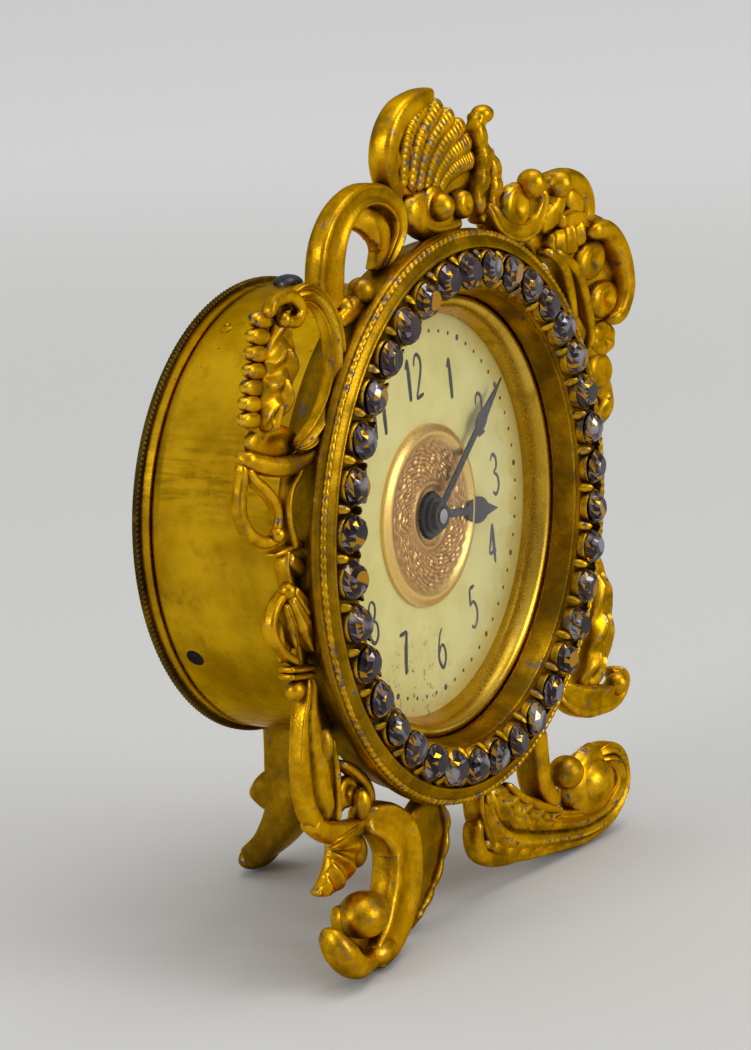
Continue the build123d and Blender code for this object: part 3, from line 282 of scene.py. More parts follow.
class Finish:
    """A material's node tree, with short calls for the nodes that the finishes share."""

    def __init__(self, name):
        self.material = bpy.data.materials.new(name)
        self.material.use_nodes = True
        self.tree = self.material.node_tree
        self.shader = self.tree.nodes["Principled BSDF"]
        place = self.node("TexCoord").outputs["Object"]
        self.mm = self.scaled(place, (1.0 / MM,) * 3)

    def node(self, kind, inputs=None, **settings):
        """A new node with its settings; each input takes a plain value or another node's output."""
        made = self.tree.nodes.new("ShaderNode" + kind)
        for name, value in settings.items():
            setattr(made, name, value)
        for name, value in (inputs or {}).items():
            self.feed(made.inputs[name], value)
        return made

    def feed(self, socket, value):
        """Joins a socket to another node's output, or sets it to a plain value."""
        if isinstance(value, bpy.types.NodeSocket):
            self.tree.links.new(value, socket)
        else:
            socket.default_value = value

    def surface(self, inputs):
        """Inputs of the shader itself, by name."""
        for name, value in inputs.items():
            self.feed(self.shader.inputs[name], value)

    def scaled(self, source, by):
        """Coordinates stretched along each axis."""
        return self.node("Mapping", {"Vector": source, "Scale": by}).outputs["Vector"]

    def vector(self, kind, *inputs):
        """Result of a Vector Math operation."""
        return self.node("VectorMath", dict(enumerate(inputs)), operation=kind).outputs["Vector"]

    def noise(self, scale, detail, rough=0.55, stretch=None):
        """Cloudy variation; scale is in turns per millimetre."""
        source = self.scaled(self.mm, stretch) if stretch else self.mm
        return self.node("TexNoise", {"Vector": source, "Scale": scale, "Detail": detail,
                                      "Roughness": rough}).outputs["Fac"]

    def specks(self, scale):
        """Distance to the nearest of scattered points."""
        return self.node("TexVoronoi", {"Vector": self.mm, "Scale": scale}).outputs["Distance"]

    def facets(self, by_facing, by_place):
        """Variation that is nearly even on one flat facet: noise of the way it faces and of its place."""
        facing = self.vector("MULTIPLY", self.node("TexCoord").outputs["Normal"], (by_facing,) * 3)
        both = self.vector("MULTIPLY_ADD", self.mm, (by_place,) * 3, facing)
        return self.node("TexNoise", {"Vector": both, "Scale": 1.0, "Detail": 0.0}).outputs["Fac"]

    def crevice(self, reach_mm):
        """Openness of the surroundings within a short reach: 1 in the open, lower in corners."""
        return self.node("AmbientOcclusion", {"Distance": reach_mm * MM}, samples=6).outputs["AO"]

    def away(self, centre, axes):
        """Distance in millimetres from a line or a point: the offset from centre, kept along axes."""
        offset = self.vector("MULTIPLY", self.vector("SUBTRACT", self.mm, centre), axes)
        return self.node("VectorMath", {0: offset}, operation="LENGTH").outputs["Value"]

    def attribute(self, name):
        """Value kept on the mesh's points."""
        return self.node("Attribute", attribute_name=name).outputs["Fac"]

    def ramp(self, value, low, high, out_low=0.0, out_high=1.0):
        """Smooth step from out_low to out_high between low and high."""
        return self.node("MapRange", {"Value": value, "From Min": low, "From Max": high, "To Min": out_low,
                                      "To Max": out_high}, interpolation_type="SMOOTHSTEP").outputs["Result"]

    def calc(self, kind, a, b):
        """Two values joined by a Math operation and kept within 0 to 1."""
        return self.node("Math", {0: a, 1: b}, operation=kind, use_clamp=True).outputs["Value"]

    def mix(self, share, first, second):
        """Blend of two colours by a share from 0 to 1."""
        made = self.node("Mix", data_type="RGBA")
        self.feed(made.inputs["Factor"], share)
        for socket, tone in zip([s for s in made.inputs if s.type == "RGBA"], (first, second)):
            self.feed(socket, (*tone, 1.0) if isinstance(tone, tuple) else tone)
        return [s for s in made.outputs if s.type == "RGBA"][0]

    def bump(self, height, strength, depth_mm):
        """Fine unevenness of the surface."""
        made = self.node("Bump", {"Height": height, "Strength": strength, "Distance": depth_mm * MM})
        self.surface({"Normal": made.outputs["Normal"]})


def old_gilding(name="old_gilding", grime=0.0):
    """Gilt over spelter: two golds in clouds, olive-brown patina in the grooves, the same olive-brown as
    painted shade in corners and gaps between parts found by ambient occlusion, matt patches, grey metal where the
    ridges are rubbed through. `grime` spreads an olive-brown layer over the gold:
    patina on the ring and the stone settings, painted shade on the rear prop and the leg plate."""
    f = Finish(name)
    relief = f.attribute("relief")
    cloud = f.noise(0.30, 4.0, 0.6)
    grain = f.noise(3.2, 3.0, 0.6)
    rub = f.noise(0.8, 4.0, 0.7)
    # Ambient occlusion darkens corners and gaps between parts: painted shade, joined below to the grooves' patina.
    shade = f.crevice(2.8)
    groove = f.calc("MAXIMUM", f.ramp(relief, -0.04, -0.5), f.ramp(shade, 0.82, 0.34))
    ridge = f.ramp(relief, 0.08, 0.45)
    gold = f.mix(f.ramp(cloud, 0.34, 0.66), (0.51, 0.25, 0.003), (0.77, 0.405, 0.007))
    gold = f.mix(f.calc("MULTIPLY", ridge, f.ramp(grain, 0.3, 0.6)), gold, (0.92, 0.54, 0.025))
    patina_and_painted_shade = f.calc("MULTIPLY", f.ramp(f.noise(0.7, 3.0), 0.15, 0.7, 0.5, 1.0), groove)
    dull_patina_and_painted_shade = f.calc("MAXIMUM", patina_and_painted_shade, f.ramp(f.noise(0.17, 5.0, 0.68), 0.44, 0.66, 0.0, 0.60))
    # Dark olive-brown over the grooves' patina, the painted crevice shade and the matt patches.
    gold = f.mix(dull_patina_and_painted_shade, gold, (0.085, 0.043, 0.002))
    if grime:
        # This olive-brown layer is patina on the ring and the stone settings, and painted shade on the rear prop and
        # the leg plate.
        film_patina_and_painted_shade = f.ramp(f.noise(0.16, 5.0, 0.65), 0.30, 0.52, 0.25, grime)
        film_patina_and_painted_shade = f.calc("MULTIPLY", film_patina_and_painted_shade, f.ramp(relief, 0.25, 0.0, 0.25, 1.0))
        gold = f.mix(film_patina_and_painted_shade, gold, (0.078, 0.046, 0.004))
    worn = f.calc("MULTIPLY", f.ramp(relief, 0.03, 0.3), f.ramp(rub, 0.54, 0.61))
    worn = f.calc("MAXIMUM", worn, f.ramp(f.noise(0.26, 5.0, 0.7), 0.63, 0.68, 0.0, 0.8))
    rough = f.calc("ADD", f.ramp(grain, 0.25, 0.75, 0.24, 0.38), f.calc("MULTIPLY", dull_patina_and_painted_shade, 0.22))
    f.surface({"Base Color": f.mix(worn, gold, (0.115, 0.105, 0.125)), "Roughness": rough, "Metallic": 1.0,
               "Specular Tint": (1.0, 0.80, 0.38, 1.0)})
    f.bump(f.calc("ADD", grain, f.calc("MULTIPLY", rub, 0.8)), 0.22, 0.12)
    return f.material


def satin_brass(name, light, dark, grain_turn=(0.25, 0.03, 0.25), pits=True):
    """Drawn sheet brass: fine scratches round the can, tarnish clouds, dark pits in a few places."""
    f = Finish(name)
    scratch = f.noise(6.0, 2.0, 0.5, grain_turn)
    cloud = f.noise(0.10, 4.0, 0.6)
    stain = f.noise(0.32, 5.0, 0.65)
    tone = f.mix(f.ramp(cloud, 0.3, 0.7), dark, light)
    tone = f.mix(f.ramp(stain, 0.50, 0.76, 0.0, 0.65), tone, (0.30, 0.155, 0.006))
    height = scratch
    if pits:
        spot = f.calc("MULTIPLY", f.ramp(f.specks(0.9), 0.16, 0.05), f.ramp(f.noise(0.09, 2.0), 0.56, 0.66))
        tone = f.mix(spot, tone, (0.045, 0.028, 0.008))
        height = f.calc("SUBTRACT", scratch, spot)
    rough = f.calc("ADD", f.ramp(scratch, 0.3, 0.7, 0.22, 0.34), f.ramp(stain, 0.5, 0.8, 0.0, 0.2))
    f.surface({"Base Color": tone, "Roughness": rough, "Metallic": 1.0, "Specular Tint": (1.0, 0.82, 0.42, 1.0)})
    f.bump(height, 0.12, 0.03)
    return f.material


def steel(name, light, dark):
    """Dark or bright steel with cloudy oxide and fine handling marks."""
    f = Finish(name)
    cloud = f.noise(0.7, 4.0, 0.6)
    fine = f.noise(7.0, 2.0)
    f.surface({"Base Color": f.mix(f.ramp(cloud, 0.35, 0.65), dark, light),
               "Roughness": f.ramp(fine, 0.3, 0.7, 0.22, 0.42), "Metallic": 1.0})
    f.bump(fine, 0.1, 0.03)
    return f.material


def dial_enamel():
    """Cream-yellow lacquered dial: faint clouds, a browner rim, specks of grime near the rim and low down."""
    f = Finish("dial_cream")
    cloud = f.noise(0.16, 3.0)
    grime = f.noise(0.9, 5.0, 0.75)
    out = f.away((0.0, 0.0, AXIS_HEIGHT), (1.0, 0.0, 1.0))
    low = f.away((-6.0, 0.0, AXIS_HEIGHT - 24.0), (1.0, 0.0, 1.0))
    tone = f.mix(f.ramp(cloud, 0.3, 0.7), (0.72, 0.635, 0.205), (0.82, 0.745, 0.285))
    tone = f.mix(f.ramp(out, 20.5, 25.0, 0.0, 0.55), tone, (0.46, 0.33, 0.075))
    spots = f.calc("MULTIPLY", f.ramp(grime, 0.56, 0.64), f.ramp(low, 15.0, 3.0, 0.0, 0.9))
    tone = f.mix(f.calc("MAXIMUM", spots, f.ramp(grime, 0.66, 0.76, 0.0, 0.4)), tone, (0.16, 0.12, 0.05))
    f.surface({"Base Color": tone, "Roughness": f.ramp(grime, 0.3, 0.7, 0.42, 0.6)})
    f.bump(f.noise(5.0, 2.0), 0.06, 0.02)
    return f.material


def dial_copper():
    """Pressed centre: rose copper with brown in the ground inside, a gold rolled rim."""
    f = Finish("dial_copper")
    relief = f.attribute("relief")
    grain = f.noise(4.0, 3.0)
    out = f.away((0.0, 0.0, AXIS_HEIGHT), (1.0, 0.0, 1.0))
    tone = f.mix(f.ramp(relief, -0.3, 0.35), (0.34, 0.150, 0.040), (0.90, 0.56, 0.20))
    tone = f.mix(f.ramp(f.noise(0.5, 3.0), 0.45, 0.7, 0.0, 0.5), tone, (0.62, 0.34, 0.11))
    tone = f.mix(f.ramp(out, 8.9, 9.5), tone, (0.90, 0.60, 0.17))
    f.surface({"Base Color": tone, "Roughness": f.ramp(grain, 0.3, 0.7, 0.26, 0.42), "Metallic": 0.9})
    f.bump(grain, 0.15, 0.04)
    return f.material


def smoky_stone():
    """Dark grey-violet cut glass, tone changing from stone to stone, hard gloss. Bright grey metal patches on some
    facets are painted glints, and gold on other facets, picked by noise of their facing and place, is a painted
    reflection of the gilt setting."""
    f = Finish("smoky_stone")
    facet = f.facets(4.0, 0.25)
    # Painted glints: bright grey metal patches on some facets. Next, painted reflection: gold on facets picked by
    # noise of their facing and place, standing for the gilt setting seen in the stone.
    painted_glint = f.calc("MAXIMUM", f.ramp(f.noise(0.34, 0.0), 0.60, 0.72), f.ramp(facet, 0.34, 0.30, 0.0, 0.6))
    painted_setting_reflection = f.ramp(facet, 0.61, 0.635)
    tone = f.mix(f.ramp(f.noise(0.22, 1.0), 0.35, 0.65), (0.010, 0.005, 0.006), (0.048, 0.028, 0.032))
    tone = f.mix(painted_setting_reflection, f.mix(painted_glint, tone, (0.34, 0.31, 0.34)), (0.50, 0.24, 0.012))
    f.surface({"Base Color": tone, "Roughness": f.ramp(f.noise(2.5, 2.0), 0.3, 0.7, 0.02, 0.08),
               "Metallic": f.ramp(f.calc("MAXIMUM", painted_glint, painted_setting_reflection), 0.0, 1.0, 0.15, 0.9),
               "Specular IOR Level": 0.36})
    f.bump(f.noise(1.2, 2.0), 0.05, 0.03)
    return f.material


def clear_glass():
    """Thin domed watch glass: light passes straight through, a clear gloss by the angle of view,
    and faint wipe marks in that gloss."""
    f = Finish("clear_glass")
    marks = f.ramp(f.noise(1.5, 3.0, 0.6, (0.3, 1.0, 3.0)), 0.4, 0.7, 0.04, 0.16)
    through = f.node("BsdfTransparent").outputs["BSDF"]
    gloss = f.node("BsdfGlossy", {"Roughness": marks}).outputs["BSDF"]
    facing = f.node("LayerWeight", {"Blend": 0.5}).outputs["Facing"]
    blend = f.node("MixShader", {"Fac": f.ramp(facing, 0.45, 1.0, 0.02, 0.45), 1: through, 2: gloss})
    f.feed(f.tree.nodes["Material Output"].inputs["Surface"], blend.outputs["Shader"])
    return f.material


def ink(name, tone, gloss=0.5):
    """Printed or blued surface, nearly black, a little uneven; on the empty screw hole it is painted shade in place
    of a real hole.
    """
    f = Finish(name)
    f.surface({"Base Color": f.mix(f.ramp(f.noise(1.4, 3.0), 0.3, 0.7), tone, tuple(1.7 * v for v in tone)),
               "Roughness": f.ramp(f.noise(4.0, 2.0), 0.3, 0.7, 0.35, 0.55), "Specular IOR Level": gloss})
    f.bump(f.noise(6.0, 2.0), 0.05, 0.02)
    return f.material


gilding = old_gilding()
# Darker gilding: patina on the ring and the stone settings; on the rear prop and the leg plate it is painted shade.
patina_and_painted_shade_gilding = old_gilding("patina_and_painted_shade_gilding", 0.62)
can_brass = satin_brass("can_brass", (0.70, 0.405, 0.008), (0.38, 0.195, 0.003))
rim_brass = satin_brass("rim_brass", (0.13, 0.080, 0.012), (0.055, 0.034, 0.006), pits=False)
bezel_brass = satin_brass("bezel_brass", (0.70, 0.45, 0.055), (0.52, 0.31, 0.022), (0.7, 0.7, 0.7), pits=False)
works_brass = satin_brass("works_brass", (0.66, 0.45, 0.12), (0.56, 0.36, 0.08), pits=False)
works_steel = steel("works_steel", (0.52, 0.53, 0.55), (0.38, 0.39, 0.41))
dark_steel = steel("dark_steel", (0.085, 0.08, 0.085), (0.035, 0.032, 0.035))
hand_dark = ink("hand_dark", (0.020, 0.018, 0.022))
# Near-black for the empty screw hole: painted shade in place of a real hole.
hole_painted_shade = ink("hole_painted_shade", (0.004, 0.003, 0.002), 0.08)
print_dark = ink("print_dark", (0.030, 0.025, 0.022))
cream = dial_enamel()
copper = dial_copper()
stone_glass = smoky_stone()
glass_clear = clear_glass()

CAD_FINISH = {
    "gilt": gilding, "case_brass": can_brass, "stone_glass": stone_glass, "clear_glass": glass_clear,
    "dark_steel": dark_steel, "dial_cream": cream, "dial_copper": copper, "hand_dark": hand_dark,
    "movement_brass": works_brass, "movement_steel": works_steel,
}


# Ring, stones and their settings

RING_PROFILE = [
    (27.55, 1.7), (32.45, 1.7), (32.5, 0.85), (32.75, 0.62), (33.2, 0.72), (34.0, 1.15), (34.6, 1.75), (34.8, 2.4),
    (34.6, 3.2), (34.25, 4.0), (33.9, 5.0), (33.7, 6.0), (33.5, 7.0), (33.2, 7.8), (32.6, 8.5), (31.6, 9.0),
    (30.4, 9.3), (28.0, 9.3), (28.0, 4.6), (26.9, 4.6), (26.95, 4.0), (27.2, 2.8),
]
BAND_PROFILE = [(27.6, 1.2), (32.4, 1.2), (32.4, 1.65), (27.6, 1.65)]
ROPE_STRANDS = 210
STONE_TIP = 0.11
CLAW_THICK, CLAW_BEND, CLAW_FOOT, CLAW_RISE = 0.36, 0.95, 1.5, 1.75
INNER_CLAWS, OUTER_CLAWS = 27.85, 32.2
ring = [turned(RING_PROFILE, fine=3), round_wire(34.15, 1.35, 0.42, 7 * ROPE_STRANDS, 10, ROPE_STRANDS, 0.10),
        round_wire(32.7, 0.8, 0.26, 360, 10)]

stone_at = np.radians(FIRST_STONE + 360.0 / STONES * np.arange(STONES))
stone_x = STONE_CIRCLE * np.cos(stone_at)[:, None, None]
stone_z = STONE_CIRCLE * np.sin(stone_at)[:, None, None]


def cut_stones():
    """Brilliants: for each stone a grid of FACETS angles by 7 radii from the table over the crown and
    the girdle to the point behind; the crown's and the back's rows are turned half a step, and each
    stone is tipped a little by sines of its angle."""
    a = circle(FACETS)[None, :, None]
    half_step = TURN / (2 * FACETS)
    rad = np.array([0.0, 1.15, 1.75, STONE_R, STONE_R, 0.9, 0.0])
    dep = np.array([-1.1, -1.1, -0.66, 0.0, 0.2, 1.0, 1.2])
    lean = np.array([0.0, 0.0, half_step, 0.0, 0.0, half_step, 0.0])
    spin = (stone_at * 3.7)[:, None, None]
    x = rad * np.cos(a + lean + spin)
    z = rad * np.sin(a + lean + spin)
    tip_x = STONE_TIP * np.sin(stone_at * 31.0)[:, None, None]
    tip_z = STONE_TIP * np.cos(stone_at * 47.0)[:, None, None]
    grid = np.stack([stone_x + x, dep + tip_x * x + tip_z * z, stone_z + z], axis=-1)
    return [(g, True, False) for g in grid]


def claws():
    """Prongs: for each gap between stones, inside and outside the circle, a tapered finger of
    round section that rises from the band and bends over the stones' edge."""
    m = (stone_at + np.radians(180.0 / STONES))[:, None, None]
    u = np.linspace(0.0, 1.0, 9)[None, :, None]
    a = circle(8)[None, None, :]
    thick = CLAW_THICK * np.sqrt(np.clip(1 - u**4, 0, 1)) * np.sqrt(np.clip(u * 12, 0, 1))
    s = 1.5 * thick * np.sin(a)
    grids = []
    for radius, lean in ((INNER_CLAWS, 1.0), (OUTER_CLAWS, -1.0)):
        r = radius + lean * CLAW_BEND * u**2 + thick * np.cos(a)
        d = CLAW_FOOT - CLAW_RISE * u + 0.0 * r
        grid = np.stack([r * np.cos(m) - s * np.sin(m), d + 0.0 * m, r * np.sin(m) + s * np.cos(m)], axis=-1)
        grids += [(g, False, True) for g in grid]
    return grids


def collets():
    """Low round cups under the stones: a short turned ring for each stone on the settings band."""
    a = circle(20)[None, :, None]
    rad = np.array([1.95, 2.3, 2.32, 2.2, 1.95])
    dep = np.array([1.6, 1.6, 0.5, 0.25, 0.35])
    x = stone_x + rad * np.cos(a)
    grid = np.stack([x, dep + 0.0 * x, stone_z + rad * np.sin(a)], axis=-1)
    return [(g, True, True) for g in grid]


make_piece("stones_cut", cut_stones(), stone_glass, stands_for=("stones",), flat=True)
make_piece("stone_claws", claws() + collets() + [turned(BAND_PROFILE, n=180, fine=3)], patina_and_painted_shade_gilding,
           stands_for=("stone_settings",))


# Shell crest

crest = [
    fan((-3.2, 37.6, 4.9), (4, 164), (13.2, 13.4, 13.4, 12.6, 12.0, 12.8, 13.2, 13.2, 13.0, 12.6, 11.2, 9.0), 1.5,
        1.2, ribs=9, cut=0.4, scallop=0.05),
    moulding([(-8.6, 39.4, 5.2), (-11.4, 41.0, 4.9), (-12.6, 43.8, 4.7), (-12.1, 46.6, 4.4), (-9.8, 49.0, 4.2),
        (-6.0, 50.3, 4.0), (-2.6, 50.8, 3.9)], (0.9, 1.2, 1.4, 1.5, 1.4, 1.2, 0.8), (1.4, 1.8, 1.8, 1.4), 1.4,
        crown=0.4, box=0.65, n=70),
]
RIBS = [
    [(-9.0, 40.2), (-8.7, 43.8), (-7.2, 47.2), (-3.6, 50.1)],
    [(-7.2, 39.8), (-6.5, 43.2), (-4.4, 46.6), (0.2, 49.6)],
    [(-5.5, 39.4), (-4.6, 42.6), (-1.9, 45.8), (2.9, 48.3)],
    [(-3.9, 39.2), (-2.6, 42.1), (0.6, 44.9), (5.5, 46.8)],
    [(-2.3, 39.2), (-0.7, 41.6), (2.4, 43.5), (6.8, 44.8)],
    [(-0.9, 39.2), (1.0, 40.9), (3.8, 42.0), (7.2, 42.6)],
]
crest += [
    moulding([(x, z, 4.3 - 0.06 * k) for k, (x, z) in enumerate(r)], (0.75, 1.05, 1.25, 1.35), (0.6, 0.9, 1.0, 1.0),
        1.2, knobs=17, knob=0.07, midrib=-0.08, crown=0.7, box=0.9, n=120, m=16, ends=(0.06, 0.12))
    for r in RIBS
]
crest += [
    moulding([(8.9, 47.9, 3.6), (7.7, 45.6, 3.5), (8.5, 43.0, 3.4), (8.0, 40.2, 3.5), (7.2, 37.8, 3.8),
        (9.0, 34.6, 4.2)], (1.3, 1.2, 1.5, 1.3, 1.1, 0.9), (1.2, 1.4, 1.3), 1.6, knobs=5, knob=0.22, midrib=0.25,
        n=90),
    moulding([(10.2, 43.6, 3.8), (11.7, 40.4, 3.7), (11.0, 36.8, 3.8), (10.8, 33.6, 4.2)], (0.7, 1.4, 1.3, 1.0),
        (1.0, 1.3, 1.2), 1.6, midrib=0.3, knobs=4, knob=0.18),
    ball((9.2, 47.7, 3.4), 1.35, (1.25, 1.0, 0.85)),
    ball((-3.4, 37.7, 2.5), 1.75),
    snail((-3.4, 37.7, 3.3), 2.5, 1.0, 1.0, back=1.4),
    cup_lobe((3.3, 37.4, 3.6), 1.8, 1.5, 0.3),
    cup_lobe((-3.4, 36.6, 4.4), 3.1, 1.7, 0.0, back=2.0, long=1.8, turn=-12.0),
    moulding([(-8.2, 38.6, 4.6), (-5.8, 36.0, 4.2), (-1.6, 34.8, 4.1), (3.4, 35.4, 4.3)], (0.6, 0.9, 1.0, 0.7), 1.3,
        1.8),
]

# Scroll on the upper left, with its volute and bead

scroll = [
    moulding([(-25.2, 27.6, 5.2), (-25.7, 31.4, 5.0), (-25.2, 35.0, 4.8), (-22.8, 38.2, 4.7), (-18.8, 40.2, 4.6),
        (-14.2, 39.9, 4.6), (-11.0, 38.0, 4.6), (-10.3, 35.6, 4.7), (-11.6, 33.2, 5.0), (-13.2, 31.0, 5.6)],
        (2.6, 2.7, 2.5, 2.0, 1.5, 1.3, 1.3, 1.3, 1.0, 0.6), (1.5, 1.7, 1.7, 1.6, 1.4, 1.2), 1.5, cut=0.42,
        crown=0.35, box=0.6, n=110, m=34, ends=(0.02, 0.03)),
    moulding([(-20.6, 37.4, 5.6), (-17.4, 37.6, 5.2), (-14.6, 36.4, 5.0), (-13.2, 34.0, 5.0), (-13.6, 31.2, 5.6)],
        (0.6, 1.5, 2.0, 1.7, 0.8), (0.8, 1.1, 1.2, 1.0), 1.2, veins=2.5, vein=0.25, slant=0.6, ends=(0.08, 0.03)),
    ball((-20.0, 29.7, 3.7), 1.6),
    ball((-22.8, 28.2, 4.4), 1.3),
    moulding([(-24.8, 26.6, 4.4), (-21.6, 28.0, 4.1), (-18.6, 29.9, 4.3)], (1.0, 1.4, 0.8), 1.1, 1.3, midrib=0.35),
]

# Looped scroll on the left with its pierced slot and knobbed edge

KNOBS = [
    (-38.9, 28.7), (-39.6, 27.0), (-40.1, 25.2), (-40.6, 23.4), (-41.2, 21.7), (-41.7, 20.0), (-42.0, 18.3),
]
loop = [
    moulding([(-32.9, 30.6, 4.6), (-30.2, 30.6, 4.4), (-28.2, 29.1, 4.0), (-27.1, 26.5, 3.6), (-26.6, 23.4, 3.6),
        (-27.2, 20.6, 3.6), (-29.0, 17.8, 3.6), (-31.8, 15.5, 3.6), (-34.3, 14.1, 4.2)],
        (0.9, 1.2, 1.3, 1.4, 1.4, 1.4, 1.3, 1.2, 0.9), (1.1, 1.3, 1.3, 1.1), 0.9, cut=0.55, valleys=2, crown=0.35,
        box=0.6, n=100, m=44),
    moulding(level(6.0, (-30.6, 29.8), (-34.4, 29.7), (-36.0, 27.6), (-36.8, 24.9), (-37.4, 22.3), (-38.1, 19.7),
        (-39.2, 17.4), (-38.9, 15.1)), (0.8, 1.0, 1.1, 1.1, 1.1, 1.1, 1.0, 0.8), 1.0, 0.6, crown=0.4, box=0.6,
        n=80),
    moulding(level(4.8, (-34.7, 28.5), (-35.6, 25.9), (-35.9, 23.5), (-36.7, 21.2), (-38.0, 18.9), (-39.4, 16.7)),
        (1.0, 2.6, 3.3, 3.2, 2.6, 1.0), (1.0, 1.6, 1.7, 1.3), 0.7, veins=4.0, vein=0.42, slant=0.8, knobs=3,
        knob=0.14, midrib=0.2, crown=0.75, box=0.9, n=120, m=44),
    moulding(level(4.4, (-38.5, 28.9), (-37.2, 30.5), (-34.1, 30.8), (-32.1, 29.3), (-33.1, 28.0), (-35.5, 28.2)),
        (0.5, 0.8, 0.8, 0.8, 0.8, 0.6), 1.0, 0.7, crown=0.5),
    ball((-35.6, 28.4, 4.0), 0.9),
    moulding([(-42.9, 14.6, 6.0), (-40.5, 13.4, 5.4), (-37.5, 12.5, 4.8), (-33.8, 12.5, 4.6), (-30.8, 13.5, 4.4)],
        (0.8, 1.1, 1.1, 0.9, 0.5), (1.3, 1.6, 1.4), 0.9, crown=0.5),
    cup_lobe((-36.4, 15.0, 6.0), 2.1, 1.1, 0.5, back=0.8, long=2.5, turn=-8.0),
]
loop += [
    cup_lobe((x + 0.6, z, 5.1), 1.02, 0.8, 0.0, back=1.3, long=1.95, turn=-10.0, n=28, m=8)
    for x, z in KNOBS
]

# Small pierced loop, its two slim bands and the bar to the ring

small_loop = [
    moulding([(-42.5, 13.9, 6.0), (-42.5, 11.8, 6.2), (-42.9, 9.8, 6.3), (-42.9, 7.7, 6.2), (-41.7, 5.7, 6.0),
        (-39.5, 4.5, 5.6), (-37.2, 4.8, 5.0)], (0.5, 0.7, 0.75, 0.75, 0.75, 0.7, 0.5), 1.0, 0.6, crown=0.45, n=70),
    moulding([(-42.0, 13.5, 6.0), (-41.1, 11.7, 5.6), (-39.6, 10.3, 5.2), (-38.3, 8.7, 5.0), (-37.8, 7.1, 5.0),
        (-38.1, 5.7, 5.0), (-37.5, 4.7, 5.0)], (0.5, 0.6, 0.65, 0.65, 0.6, 0.6, 0.5), 1.0, 0.6, crown=0.45, n=70),
    moulding(level(4.7, (-32.9, 12.7), (-34.1, 11.1), (-35.7, 9.9), (-36.5, 8.2), (-36.3, 5.8), (-34.9, 2.9)),
        (0.5, 0.5, 0.45, 0.45, 0.5, 0.8), (1.1, 1.2, 1.1), 0.7, crown=0.45),
    ball((-38.3, 5.2, 4.4), 0.85),
    moulding([(-39.0, 2.9, 5.6), (-37.4, 3.1, 5.0), (-33.9, 3.3, 4.8)], (0.25, 0.5, 0.5), 1.0, 0.7),
    moulding(level(4.8, (-37.0, 2.5), (-33.8, 0.5), (-29.3, -0.6)), (0.8, 1.0, 0.9), 1.2, 1.0),
]

# Leaf cluster, long strip with its volute, and the pendant bud

leaves = [
    moulding(level(4.9, (-36.7, 3.3), (-37.2, 1.1), (-36.1, -1.8)), (0.5, 0.45, 0.7), 1.1, 0.8),
    moulding(level(4.9, (-36.4, -1.2), (-39.2, -2.7), (-40.3, -5.0), (-38.8, -7.6), (-35.2, -10.0)),
        (0.5, 0.6, 0.6, 0.6, 0.5), 1.0, 0.7, crown=0.45),
    cup_lobe((-36.6, -5.7, 5.3), 1.7, 0.9, 0.6, back=0.5, long=2.3, turn=78.0),
    moulding(level(4.4, (-36.7, -1.1), (-34.4, -3.6), (-31.7, -7.1)), (0.6, 1.1, 0.3), (1.0, 1.4, 0.7), 0.7,
        midrib=0.4),
    moulding(level(4.3, (-37.3, -1.8), (-35.3, -5.3), (-33.0, -9.2)), (0.6, 1.2, 0.3), (1.0, 1.5, 0.7), 0.7,
        midrib=0.4),
    moulding(level(4.6, (-38.0, -2.5), (-37.0, -5.3), (-36.0, -8.1)), (0.5, 0.8, 0.3), (0.9, 1.2, 0.7), 0.7,
        midrib=0.4),
    ball((-37.2, -1.3, 4.2), 1.0),
    moulding(level(4.8, (-37.9, -10.1), (-35.3, -10.6), (-32.5, -11.0)), 0.4, 1.2, 0.9),
    moulding(level(4.8, (-38.0, -10.9), (-35.4, -11.4), (-32.6, -11.8)), 0.4, 1.2, 0.9),
    ball((-36.0, -12.9, 4.6), 1.1, (1.2, 1.0, 1.1)),
    moulding(level(5.8, (-34.7, 0.8), (-33.7, -3.7), (-33.3, -7.9), (-33.4, -11.9), (-33.7, -14.5)),
        (0.8, 0.9, 1.0, 1.0, 0.9), 0.9, 0.8),
    moulding(level(6.2, (-33.1, -3.9), (-31.5, -5.6), (-29.3, -7.4)), 0.8, 0.8, 0.8),
]
